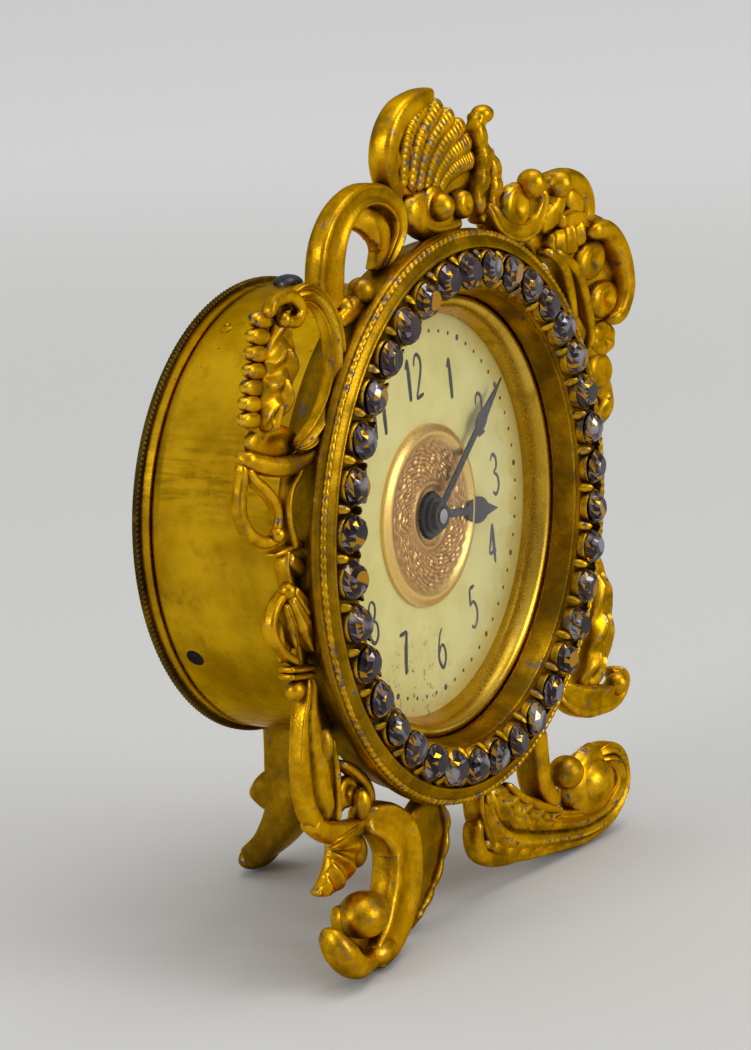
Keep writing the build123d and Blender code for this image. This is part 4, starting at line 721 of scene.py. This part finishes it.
strip = [
    moulding(level(4.7, (-33.5, -11.6), (-34.0, -14.1), (-34.5, -16.7), (-34.4, -19.8), (-34.2, -23.0),
        (-33.7, -26.1), (-31.7, -29.5)), (0.9, 1.2, 2.0, 2.8, 3.0, 2.8, 1.6), (1.1, 1.2, 1.3, 1.3), 1.0, midrib=0.5,
        crown=0.16, box=0.34, n=100, m=60),
    ball((-31.6, -20.2, 3.9), 1.0, (1.2, 1.0, 2.0)),
    moulding(level(4.8, (-30.0, -19.6), (-29.3, -23.0), (-29.2, -26.2), (-29.4, -30.0)), (0.5, 0.5, 0.45, 0.5), 1.2,
        1.0, crown=0.5),
    moulding(level(4.9, (-28.1, -23.3), (-24.9, -25.2), (-22.4, -27.7), (-22.1, -30.0), (-24.3, -31.7)),
        (0.5, 0.7, 0.8, 0.9, 0.6), 1.2, 1.0),
    cup_lobe((-25.7, -27.5, 5.2), 2.0, 0.9, 0.7, back=0.8, long=1.1),
    ball((-24.3, -29.3, 4.0), 1.15, (1.1, 1.0, 1.8)),
    moulding([(-31.0, -14.0, 6.3), (-29.4, -18.4, 6.3), (-28.4, -22.4, 6.2), (-27.4, -26.4, 6.0),
        (-26.8, -29.8, 5.6)], (1.4, 1.6, 1.6, 1.5, 1.2), 1.1, 1.2),
    moulding(level(4.6, (-35.1, -28.3), (-31.3, -30.6), (-25.3, -31.8), (-21.8, -30.9)), (1.0, 1.4, 1.2, 0.7), 1.3,
        1.2),
    moulding(level(4.4, (-28.5, -31.0), (-28.5, -33.3), (-29.8, -35.3), (-32.1, -36.7), (-34.1, -37.2)),
        (3.0, 3.2, 2.7, 1.6, 0.3), (1.5, 1.9, 1.7, 1.1, 0.5), 1.0, veins=5.0, vein=0.40, slant=0.15, crown=0.7,
        n=110, m=40, ends=(0.05, 0.03)),
    ball((-25.1, -34.7, 4.4), 1.2, (1.2, 1.0, 1.7)),
]

# Front legs

left_leg = [
    moulding([(-24.8, -30.8, 4.2), (-20.8, -32.4, 3.9), (-18.4, -35.4, 3.6), (-18.6, -39.2, 3.4),
        (-20.2, -42.4, 3.2), (-23.2, -45.2, 2.8), (-27.6, -46.8, 2.4)], (1.6, 2.5, 3.2, 3.5, 3.3, 2.6, 1.6),
        (2.0, 2.6, 2.7, 2.5, 2.2), 2.0, cut=0.32, crown=0.4, box=0.6, n=110, m=40, ends=(0.04, 0.05)),
    ball((-28.4, -41.0, 1.8), 2.8, (1.25, 1.05, 0.98)),
    ball((-25.5, -46.4, 1.6), 1.9, (1.5, 0.9, 0.85)),
    moulding(level(3.4, (-29.7, -39.7), (-30.4, -41.5), (-28.4, -44.2), (-23.7, -47.7)), (1.0, 1.4, 1.5, 1.2), 1.3,
        1.4),
    moulding([(-35.2, -40.4, 2.0), (-34.6, -43.2, 1.4), (-32.0, -45.8, 1.4), (-28.8, -46.6, 1.8),
        (-25.6, -46.4, 2.2)], (0.9, 1.7, 1.6, 1.3, 1.0), (1.4, 2.2, 2.1, 1.6, 1.2), 2.0, crown=0.9,
        ends=(0.16, 0.1)),
]
leg_plate = [
    moulding([(-9.6, -32.4, 5.2), (-8.1, -37.0, 5.2), (-9.1, -41.0, 5.2), (-11.6, -44.8, 5.0), (-16.0, -47.1, 4.6)],
        (4.6, 4.0, 3.2, 2.2, 1.0), 0.9, 1.2, crown=0.2, box=0.5, n=70, m=30),
    moulding([(-6.2, -33.4, 4.6), (-4.7, -37.2, 4.6), (-5.7, -40.6, 4.6), (-8.4, -44.0, 4.6), (-13.0, -46.9, 4.4)],
        0.6, 1.0, 1.0, knobs=5, knob=0.25),
]
right_foot = [
    moulding([(4.0, -33.8, 3.9), (4.2, -37.6, 3.7), (6.6, -40.8, 3.4), (11.8, -42.8, 3.0), (18.4, -44.6, 2.6),
        (25.2, -45.8, 2.0), (31.0, -45.3, 1.5), (34.4, -43.2, 1.2), (35.0, -40.2, 1.2), (32.8, -38.0, 1.3),
        (29.4, -37.8, 1.6)], (2.5, 3.4, 4.2, 3.7, 3.0, 2.6, 2.4, 2.2, 2.0, 1.8, 1.3),
        (2.0, 2.4, 2.4, 2.3, 2.3, 1.8), 2.2, cut=0.30, valleys=3, crown=0.42, box=0.62, n=140, m=60,
        ends=(0.03, 0.05)),
    cup_lobe((28.8, -41.4, 2.4), 5.0, 3.0, 0.0, back=2.0, long=1.35, turn=-8.0),
    ball((28.2, -40.6, 1.2), 3.2, (1.3, 0.9, 1.0)),
    snail((28.4, -41.0, 1.8), 5.4, 2.4, 1.2, 2.2, 0.2),
    ball((22.2, -37.8, 1.6), 2.35, (1.05, 1.0, 0.95)),
    moulding(level(2.6, (-0.1, -37.7), (-0.6, -40.2), (0.7, -42.8), (4.6, -44.4), (10.7, -45.6)),
        (0.7, 1.0, 1.0, 0.9, 0.5), 1.1, 1.6, n=70),
    moulding([(15.4, -30.2, 2.8), (15.6, -34.2, 2.6), (16.2, -37.8, 2.5), (19.0, -41.8, 2.6)], (1.7, 1.5, 1.5, 1.9),
        1.7, 2.6, crown=0.45, box=0.6),
    moulding([(2.4, -34.8, 2.4), (6.6, -38.0, 2.0), (12.6, -40.8, 1.7), (20.0, -43.2, 1.6)], (1.6, 2.5, 2.1, 0.6),
        (0.9, 1.3, 1.1), 1.6, veins=5, vein=0.38, slant=0.9, knobs=5, knob=0.2, side=-1, n=110, m=36),
    moulding([(6.0, -34.8, 1.6), (9.4, -37.6, 1.3), (14.0, -40.0, 1.1), (19.4, -42.0, 1.0)], (0.4, 0.6, 0.6, 0.4),
        0.7, 1.0),
    moulding([(1.4, -41.4, 2.8), (7.6, -44.2, 2.3), (15.2, -46.1, 2.0), (23.2, -47.1, 1.8)], (0.9, 1.1, 0.9, 0.6),
        1.0, 1.4, knobs=7, knob=0.3, n=90),
]

# Shell on the upper right with its curls, and the leaf bracket below

shell = [
    fan((27.0, 23.8, 2.8), (-66, 84), (12.0, 12.8, 14.0, 14.6, 14.4, 13.2, 10.4), 2.4, 1.8, ribs=5, cut=0.30,
        scallop=0.08, dish=0.6),
    moulding(level(1.2, (31.2, 31.3), (35.3, 31.2), (38.5, 28.6), (39.9, 25.4), (39.8, 22.4), (38.2, 20.2),
        (35.6, 19.4)), (0.9, 1.4, 1.5, 1.5, 1.4, 1.2, 0.8), (1.6, 2.2, 2.4, 1.8), 2.0, crown=0.45, box=0.65, n=80),
    cup_lobe((22.5, 30.5, 3.6), 2.0, 1.2, 0.0, long=1.8, turn=-25.0),
    cup_lobe((24.5, 31.0, 3.0), 1.7, 1.2, 0.2, long=1.6, turn=-20.0),
    moulding(level(2.0, (20.6, 30.1), (24.8, 27.9), (26.8, 24.1), (27.6, 20.1)), (0.6, 0.9, 0.9, 0.6), 1.3, 1.4,
        crown=0.5),
    moulding(level(2.0, (22.7, 30.0), (28.3, 26.8), (30.8, 22.7), (31.9, 18.7), (31.4, 16.2)),
        (0.6, 0.8, 0.8, 0.8, 0.6), 1.5, 1.4, crown=0.5),
    cup_lobe((32.2, 27.7, 1.9), 2.6, 2.1, 0.4, long=1.5, turn=10.0),
    cup_lobe((35.7, 22.3, 1.9), 2.6, 2.1, 0.4, long=1.5, turn=0.0),
    cup_lobe((35.4, 17.3, 2.0), 2.5, 1.9, 0.4, 6, 0.12, long=1.45, turn=-8.0),
    cup_lobe((35.0, 13.1, 2.2), 2.5, 1.7, 0.3, long=1.35, turn=-15.0),
    moulding(level(2.8, (35.1, 11.7), (38.2, 9.3), (36.4, 6.9), (33.8, 4.9)), (1.6, 1.9, 1.4, 0.4), (1.2, 1.5, 1.2),
        1.6, veins=2.5, vein=0.3, slant=0.6, midrib=0.3),
    moulding(level(2.0, (21.7, 30.8), (26.6, 30.9), (32.3, 32.2)), (1.2, 2.2, 1.6), (1.2, 1.7, 1.4), 2.0, veins=4,
        vein=0.38, slant=0.2, n=80, m=30),
]
curls = [
    ball((17.4, 38.7, 1.4), 1.85),
    ball((24.6, 38.0, 1.4), 1.85),
    moulding([(9.4, 37.0, 3.4), (11.0, 34.2, 2.9), (14.8, 32.9, 2.7), (18.8, 33.4, 2.6), (20.9, 35.8, 2.4),
        (20.6, 37.8, 2.2)], (1.0, 1.2, 1.3, 1.3, 1.2, 0.9), (1.3, 1.5, 1.4), 1.8, cut=0.35),
    cup_lobe((15.0, 36.0, 2.8), 3.0, 1.5, 0.6, long=1.1, turn=30.0),
    moulding(level(2.0, (22.9, 38.8), (27.2, 38.5), (30.7, 36.9), (32.0, 34.6), (31.5, 32.3)),
        (0.8, 1.3, 1.5, 1.5, 1.2), (1.4, 1.8, 1.6), 1.8, crown=0.5),
    cup_lobe((29.4, 35.6, 2.4), 2.4, 1.8, 0.1, long=1.3, turn=-35.0),
    moulding([(20.4, 33.2, 2.8), (23.8, 34.6, 2.3), (25.0, 37.0, 2.0)], (1.3, 1.7, 1.3), 1.4, 1.8),
    moulding(level(2.2, (24.3, 33.4), (29.2, 33.4), (33.8, 31.8)), (1.0, 1.5, 1.0), 1.5, 1.8, midrib=0.3),
]
bracket = [
    moulding([(32.8, -9.6, 3.6), (34.6, -14.8, 3.0), (35.0, -20.4, 2.8), (33.2, -25.6, 2.9), (29.6, -29.0, 3.2)],
        (0.9, 2.3, 2.9, 2.8, 1.8), (1.3, 1.9, 2.0, 1.6), 1.8, veins=4, vein=0.42, slant=0.6, midrib=0.35, knobs=4,
        knob=0.22, side=1, n=100, m=36),
    moulding([(23.6, -27.2, 3.6), (27.6, -29.6, 2.9), (32.2, -30.6, 2.4), (36.4, -30.8, 2.0), (38.4, -29.2, 1.7),
        (36.8, -27.4, 1.9)], (1.5, 2.1, 2.2, 1.9, 1.4, 0.8), (1.5, 2.0, 1.9, 1.4), 1.8, cut=0.45, crown=0.45),
    ball((36.8, -29.4, 1.2), 1.6),
]
make_piece("frame_ring", ring, patina_and_painted_shade_gilding, stands_for=("front_frame",))
for piece_name, grids in (("shell_crest", crest), ("top_scroll", scroll), ("left_loop", loop),
                          ("small_loop", small_loop), ("leaf_cluster", leaves), ("left_strip", strip),
                          ("left_front_leg", left_leg), ("right_front_foot", right_foot), ("right_shell", shell),
                          ("right_curls", curls), ("leaf_bracket", bracket)):
    make_piece(piece_name, grids, gilding)
# The leg plate takes the darker gilding: painted shade on the recessed plate.
make_piece("leg_plate", leg_plate, patina_and_painted_shade_gilding)

# Rear leg

rear = [
    moulding(level(0.0, (28.4, -25.8), (28.4, -31.0), (28.7, -35.6), (29.5, -39.6), (31.6, -43.2), (33.9, -45.4),
        (35.4, -46.4)), (2.9, 2.9, 2.9, 2.5, 2.1, 1.7, 1.5), 4.4, 4.4, crown=0.22, box=0.55, upright=True, n=80,
        m=36, ends=(0.02, 0.05)),
    ball((0.0, -46.45, 35.1), 1.8, (2.4, 1.0, 1.0), n=36, m=19),
    moulding(level(0.0, (28.6, -34.6), (31.2, -36.6), (33.2, -39.2)), (2.2, 2.2, 1.7), 4.35, 4.35, crown=0.22,
        box=0.55, upright=True, n=40, m=36, ends=(0.04, 0.3)),
]
# The rear prop takes the darker gilding: painted shade on the leg that stands back in shadow.
make_piece("rear_prop", rear, patina_and_painted_shade_gilding, stands_for=("rear_leg",))

# Can, knurled back and bezel

CAN = [(DRUM_R, 4.7), (DRUM_R, 10.0), (DRUM_R, 16.0), (DRUM_R, 22.0), (DRUM_R, 27.0), (DRUM_R, 28.7), (27.7, 29.05),
       (27.3, 29.1), (27.3, 28.8), (27.3, 16.0), (27.3, 4.7)]
SHOULDER = [(27.6, 29.3), (27.9, 29.4), (27.95, 30.3), (27.95, 30.75), (27.4, 30.75), (27.4, 29.3)]
RIM = [(27.7, 30.45), (28.35, 30.5), (28.5, 30.65), (28.5, 31.3), (28.2, 31.6), (26.9, 31.62), (26.6, 31.35),
       (26.2, 31.3), (26.0, 29.5)]
KNURLED = [0, 0, 1, 1, 0, 0, 0, 0, 0]
KNURLS = 280
BACK = [(26.4, 31.2), (26.2, 31.42), (25.8, 31.58), (22.6, 31.6), (22.4, 31.45), (22.0, 31.45), (21.8, 31.6),
        (12.2, 31.6), (11.9, 31.38), (11.3, 31.38), (11.0, 31.6), (6.2, 31.6), (5.7, 31.3), (1.6, 31.3), (1.6, 29.7),
        (24.0, 29.7), (26.2, 29.7)]
BEZEL = [(27.25, 7.8), (27.25, 7.2), (26.95, 7.1), (26.9, 5.4), (26.7, 4.9), (26.3, 4.7), (25.9, 4.78), (25.5, 5.1),
         (25.15, 5.7), (24.9, 6.4), (24.72, 7.1), (24.6, 7.8)]
make_piece("can_wall", [turned(CAN, fine=2)], can_brass, stands_for=("drum_case",))
make_piece("knurled_back", [turned(RIM, n=6 * KNURLS, ripple=0.09, count=KNURLS, where=KNURLED)], rim_brass,
           body="winding", stands_for=("winding_back",))
make_piece("back_disc", [turned(BACK, fine=2)], can_brass, body="winding")
make_piece("rim_shoulder", [turned(SHOULDER, fine=2)], can_brass, body="winding")
make_piece("bezel_ring", [turned(BEZEL, n=300, fine=2)], bezel_brass, stands_for=("bezel",))

# Screw heads, the empty screw hole and the steady pin in the can's wall

SCREW_DEPTH = 26.4
HEAD = [(0, 1), (0.25, 0.98), (0.5, 0.88), (0.75, 0.68), (0.92, 0.42), (1, 0.15), (1, -0.2), (0, -0.2)]
HOLE = [(0, 0.2), (0.85, 0.2), (1.0, 0.9), (1.1, 0.2), (1.15, -1.0), (0, -1.0)]
PIN = [(0, 0.7), (0.45, 0.7), (0.55, 0.3), (0.7, 0.3), (0.8, 1.0), (1.0, 0.6), (1.05, -1.0), (0, -1.0)]


def on_can(angle, r, rise, profile):
    """Round fitting on the can's wall: a turned profile of (share of r, share of rise) about the line
    that leaves the can square to its wall at the given angle and the screws' depth."""
    th = circle(32)[:, None]
    p = np.asarray(profile, float)[None, :, :]
    a, b, up = r * p[..., 0] * np.cos(th), r * p[..., 0] * np.sin(th), DRUM_R + rise * p[..., 1] + 0.0 * th
    k = np.radians(angle)
    x, z = up * np.cos(k) - a * np.sin(k), up * np.sin(k) + a * np.cos(k)
    return np.stack([x, SCREW_DEPTH + b, z], axis=-1), True, False


make_piece("screw_heads", [on_can(angle, 1.9, 1.15, HEAD) for angle in (90, 330)], dark_steel,
           stands_for=("case_screws",))
# The empty screw hole is a black disc with a low rim on the wall: painted shade in place of a real hole.
make_piece("empty_screw_hole", [on_can(210, 1.05, 0.03, HOLE)], hole_painted_shade)
make_piece("steady_pin", [on_can(120, 0.85, 0.12, PIN)], can_brass, stands_for=("case_pin",))

# Dial with numerals, minute dots and its pressed centre; strokes are in shares of a figure's width and height

STROKES = {
    "0": [[(0.5, 1), (0.88, 0.78), (0.94, 0.5), (0.88, 0.22), (0.5, 0), (0.12, 0.22), (0.06, 0.5), (0.12, 0.78),
           (0.5, 1)]],
    "1": [[(0.22, 0.78), (0.38, 0.9), (0.52, 1.0)], [(0.52, 1.0), (0.52, 0.5), (0.52, 0.0)]],
    "2": [[(0.1, 0.74), (0.24, 0.95), (0.55, 1), (0.86, 0.85), (0.82, 0.6), (0.46, 0.28), (0.08, 0.0)],
          [(0.08, 0.0), (0.5, 0.02), (0.95, 0.04)]],
    "3": [[(0.12, 0.86), (0.42, 1), (0.8, 0.88), (0.78, 0.66), (0.38, 0.55)],
          [(0.38, 0.55), (0.84, 0.42), (0.9, 0.18), (0.5, 0), (0.1, 0.12)]],
    "4": [[(0.7, 0.0), (0.7, 0.5), (0.7, 1.0)], [(0.7, 1.0), (0.38, 0.64), (0.06, 0.3)],
          [(0.06, 0.3), (0.5, 0.3), (0.98, 0.3)]],
    "5": [[(0.86, 1), (0.55, 0.99), (0.26, 1)], [(0.26, 1), (0.22, 0.78), (0.18, 0.56)],
          [(0.18, 0.56), (0.52, 0.64), (0.88, 0.48), (0.9, 0.2), (0.5, 0), (0.1, 0.1)]],
    "6": [[(0.82, 0.96), (0.46, 0.84), (0.16, 0.5), (0.12, 0.22), (0.5, 0), (0.88, 0.2), (0.84, 0.45), (0.5, 0.57),
           (0.15, 0.36)]],
    "7": [[(0.08, 1), (0.5, 0.98), (0.94, 1)], [(0.94, 1), (0.62, 0.52), (0.42, 0.0)]],
    "8": [[(0.5, 1), (0.82, 0.86), (0.76, 0.65), (0.5, 0.54), (0.24, 0.65), (0.18, 0.86), (0.5, 1)],
          [(0.5, 0.54), (0.9, 0.4), (0.9, 0.14), (0.5, 0), (0.1, 0.14), (0.1, 0.4), (0.5, 0.54)]],
    "9": [[(0.18, 0.04), (0.54, 0.16), (0.84, 0.5), (0.88, 0.78), (0.5, 1), (0.12, 0.8), (0.15, 0.56), (0.5, 0.43),
           (0.85, 0.62)]],
}
BOLD = {("1", 1), ("4", 0), ("7", 1)}
BOLD_WEIGHT, THIN_WEIGHT = (0.24, 0.40, 0.42, 0.32), (0.17, 0.27, 0.27, 0.19)
DIAL_FRONT = 7.8
DIAL_TURN = np.radians(7.0)
NUMERAL_R, NUMERAL_TALL, NUMERAL_WIDE = 17.2, 5.3, 2.05
DOT_CIRCLE, HOUR_DOT, MINUTE_DOT = 22.4, 0.40, 0.26
ROSETTE_HOLE, ROSETTE_R = 3.0, 11.2
DIAL = [(3.0, 7.8), (12.0, 7.8), (20.0, 7.8), (27.2, 7.8), (27.2, 8.3), (20.0, 8.3), (12.0, 8.3), (3.0, 8.3)]


def numeral(hour):
    """Strokes of an hour's figures, upright, centred on the numeral circle at the hour's angle:
    each stroke is a thin flat moulding that swells in the middle."""
    angle = np.radians(90.0 - 30.0 * hour) + DIAL_TURN
    digits = str(hour)
    grids = []
    for k, digit in enumerate(digits):
        x0 = (k - 0.5 * len(digits)) * NUMERAL_WIDE * 1.1 + 0.05 * NUMERAL_WIDE
        for i, stroke in enumerate(STROKES[digit]):
            across, up = np.array(stroke).T
            a, b = x0 + NUMERAL_WIDE * across, NUMERAL_TALL * (up - 0.5)
            x = NUMERAL_R * np.cos(angle) + a * np.cos(DIAL_TURN) - b * np.sin(DIAL_TURN)
            z = NUMERAL_R * np.sin(angle) + a * np.sin(DIAL_TURN) + b * np.cos(DIAL_TURN)
            weight = BOLD_WEIGHT if (digit, i) in BOLD else THIN_WEIGHT
            grids.append(moulding(level(DIAL_FRONT, *zip(x, z)), weight, 0.04, 0.02, n=30, m=8, ends=(0.05, 0.05)))
    return grids


def minute_dots():
    """Sixty low dots on one circle, larger at the hours: flattened spheres of a few faces."""
    angles = np.radians(6.0 * np.arange(60)) + DIAL_TURN
    return [ball((DOT_CIRCLE * np.cos(a), DOT_CIRCLE * np.sin(a), DIAL_FRONT), MINUTE_DOT if k % 5 else HOUR_DOT,
                 (1, 0.12, 1), n=10, m=5) for k, a in enumerate(angles)]


def pressed_centre(over=90, behind=12):
    """Centre disc: radius by angle grid; the front rises at the rim as a round bead and inside it
    as a wreath of leaves, products of cosines of angle and radius, that fades towards both edges."""
    th = circle(480)[:, None]
    r = np.concatenate([np.linspace(ROSETTE_HOLE, ROSETTE_R, over),
                        np.linspace(ROSETTE_R, ROSETTE_HOLE, behind)])[None, :]
    front = (np.arange(over + behind) < over)[None, :]
    rim = 0.5 * np.exp(-((r - 10.1) / 0.75)**2) + 0.2 * np.exp(-((r - 4.0) / 0.4)**2)
    fade = np.clip((r - 4.3) / 1.2, 0, 1) * np.clip((9.4 - r) / 1.0, 0, 1)
    wreath = (0.12 * np.cos(14 * th + 1.2 * r) * np.cos(3.4 * r - 1.6 * np.cos(14 * th))
              + 0.07 * np.cos(34 * th - 5.0 * r) * np.cos(5.5 * r))
    d = np.where(front, 7.42 - rim - fade * wreath, DIAL_FRONT)
    return np.stack([r * np.cos(th), d + 0.0 * th, r * np.sin(th)], axis=-1), True, True


make_piece("dial_plate", [turned(DIAL, n=180, fine=3)], cream, stands_for=("dial",))
make_piece("dial_figures", [g for h in range(1, 13) for g in numeral(h)] + minute_dots(), print_dark)
make_piece("dial_rosette", [pressed_centre()], copper, stands_for=("dial_centre",))

# Finishes of the nodes that stay

node_slot = {row["node"]: row["material_slot"] for row in frame["record"]["subparts"]}
for node_name, node_object in frame["nodes"].items():
    node_object.data.materials.clear()
    node_object.data.materials.append(CAD_FINISH[node_slot[node_name]])

# Floor, light and camera, in metres

FLOOR_R, FLAT_R = 4.0, 1.2
AIM = (0, 0, 0.05)


def studio_sweep(around=96, out=60):
    """Pale floor that stays flat near the clock and lifts with the square of the distance."""
    th = circle(around)[:, None]
    r = np.linspace(0.0, FLOOR_R, out)[None, :]
    lift = 0.08 * np.clip(r - FLAT_R, 0, None)**2
    p = np.stack([r * np.cos(th), r * np.sin(th), lift + 0.0 * th], axis=-1).reshape(-1, 3)
    i, j = np.arange(around)[:, None], np.arange(out - 1)[None, :]
    here, there = i * out + j, (i + 1) % around * out + j
    quad = np.stack([here, here + 1, there + 1, there], axis=-1).reshape(-1, 4)
    mesh = bpy.data.meshes.new("studio_floor")
    mesh.from_pydata(p.tolist(), [], quad.tolist())
    weld(mesh, 1e-6)
    mesh.polygons.foreach_set("use_smooth", np.ones(len(mesh.polygons), bool))
    floor = bpy.data.objects.new("studio_floor", mesh)
    bpy.context.scene.collection.objects.link(floor)
    f = Finish("pale_paper")
    far = f.ramp(f.away((0.0, 0.0, 0.0), (1.0, 1.0, 0.0)), 250.0, 1700.0)
    f.surface({"Base Color": f.mix(far, (0.625, 0.625, 0.61), (0.86, 0.86, 0.86)), "Roughness": 0.9})
    mesh.materials.append(f.material)


def soft_light(name, place, size, power):
    """Square soft box at place, turned towards the clock."""
    data = bpy.data.lights.new(name, "AREA")
    data.shape = "SQUARE"
    data.size = size
    data.energy = power
    lamp = bpy.data.objects.new(name, data)
    bpy.context.scene.collection.objects.link(lamp)
    to = np.array(AIM) - np.array(place)
    to = to / np.linalg.norm(to)
    right = np.cross(to, (0.0, 0.0, 1.0))
    right = right / np.linalg.norm(right)
    rows = np.stack([right, np.cross(right, to), -to], axis=1)
    lamp.matrix_world = Matrix([[*row, at] for row, at in zip(rows, place)] + [[0, 0, 0, 1]])


studio_sweep()
soft_light("top_box", (0.3, -0.5, 3.0), 1.8, 21.0)
soft_light("left_box", (-1.1, 0.30, 0.52), 0.42, 3.2)
soft_light("front_box", (0.25, -1.3, 0.55), 0.7, 6.6)

# Room: grey light that grows from the horizon to overhead
world = bpy.data.worlds.new("studio_room")
bpy.context.scene.world = world
world.use_nodes = True
sky = world.node_tree
background = sky.nodes["Background"]
direction = sky.nodes.new("ShaderNodeTexCoord")
split = sky.nodes.new("ShaderNodeSeparateXYZ")
shade = sky.nodes.new("ShaderNodeMapRange")
for name, value in (("From Min", 0.15), ("From Max", 0.9), ("To Min", 0.10), ("To Max", 0.8)):
    shade.inputs[name].default_value = value
sky.links.new(direction.outputs["Generated"], split.inputs["Vector"])
sky.links.new(split.outputs["Z"], shade.inputs["Value"])
sky.links.new(shade.outputs["Result"], background.inputs["Color"])
background.inputs["Strength"].default_value = 1.0

camera_data = bpy.data.cameras.new("photo_camera")
camera_data.sensor_fit = "VERTICAL"
camera_data.sensor_height = 36.0
camera_data.lens = 94.29
camera_data.clip_start = 0.01
camera = bpy.data.objects.new("photo_camera", camera_data)
bpy.context.scene.collection.objects.link(camera)
camera.matrix_world = Matrix([[0.51508, 0.18654, -0.83660, -0.28330], [-0.85607, 0.06321, -0.51298, -0.17539],
                              [-0.04281, 0.98041, 0.19225, 0.11189], [0, 0, 0, 1]])
bpy.context.scene.camera = camera
bpy.context.scene.view_settings.view_transform = "Standard"
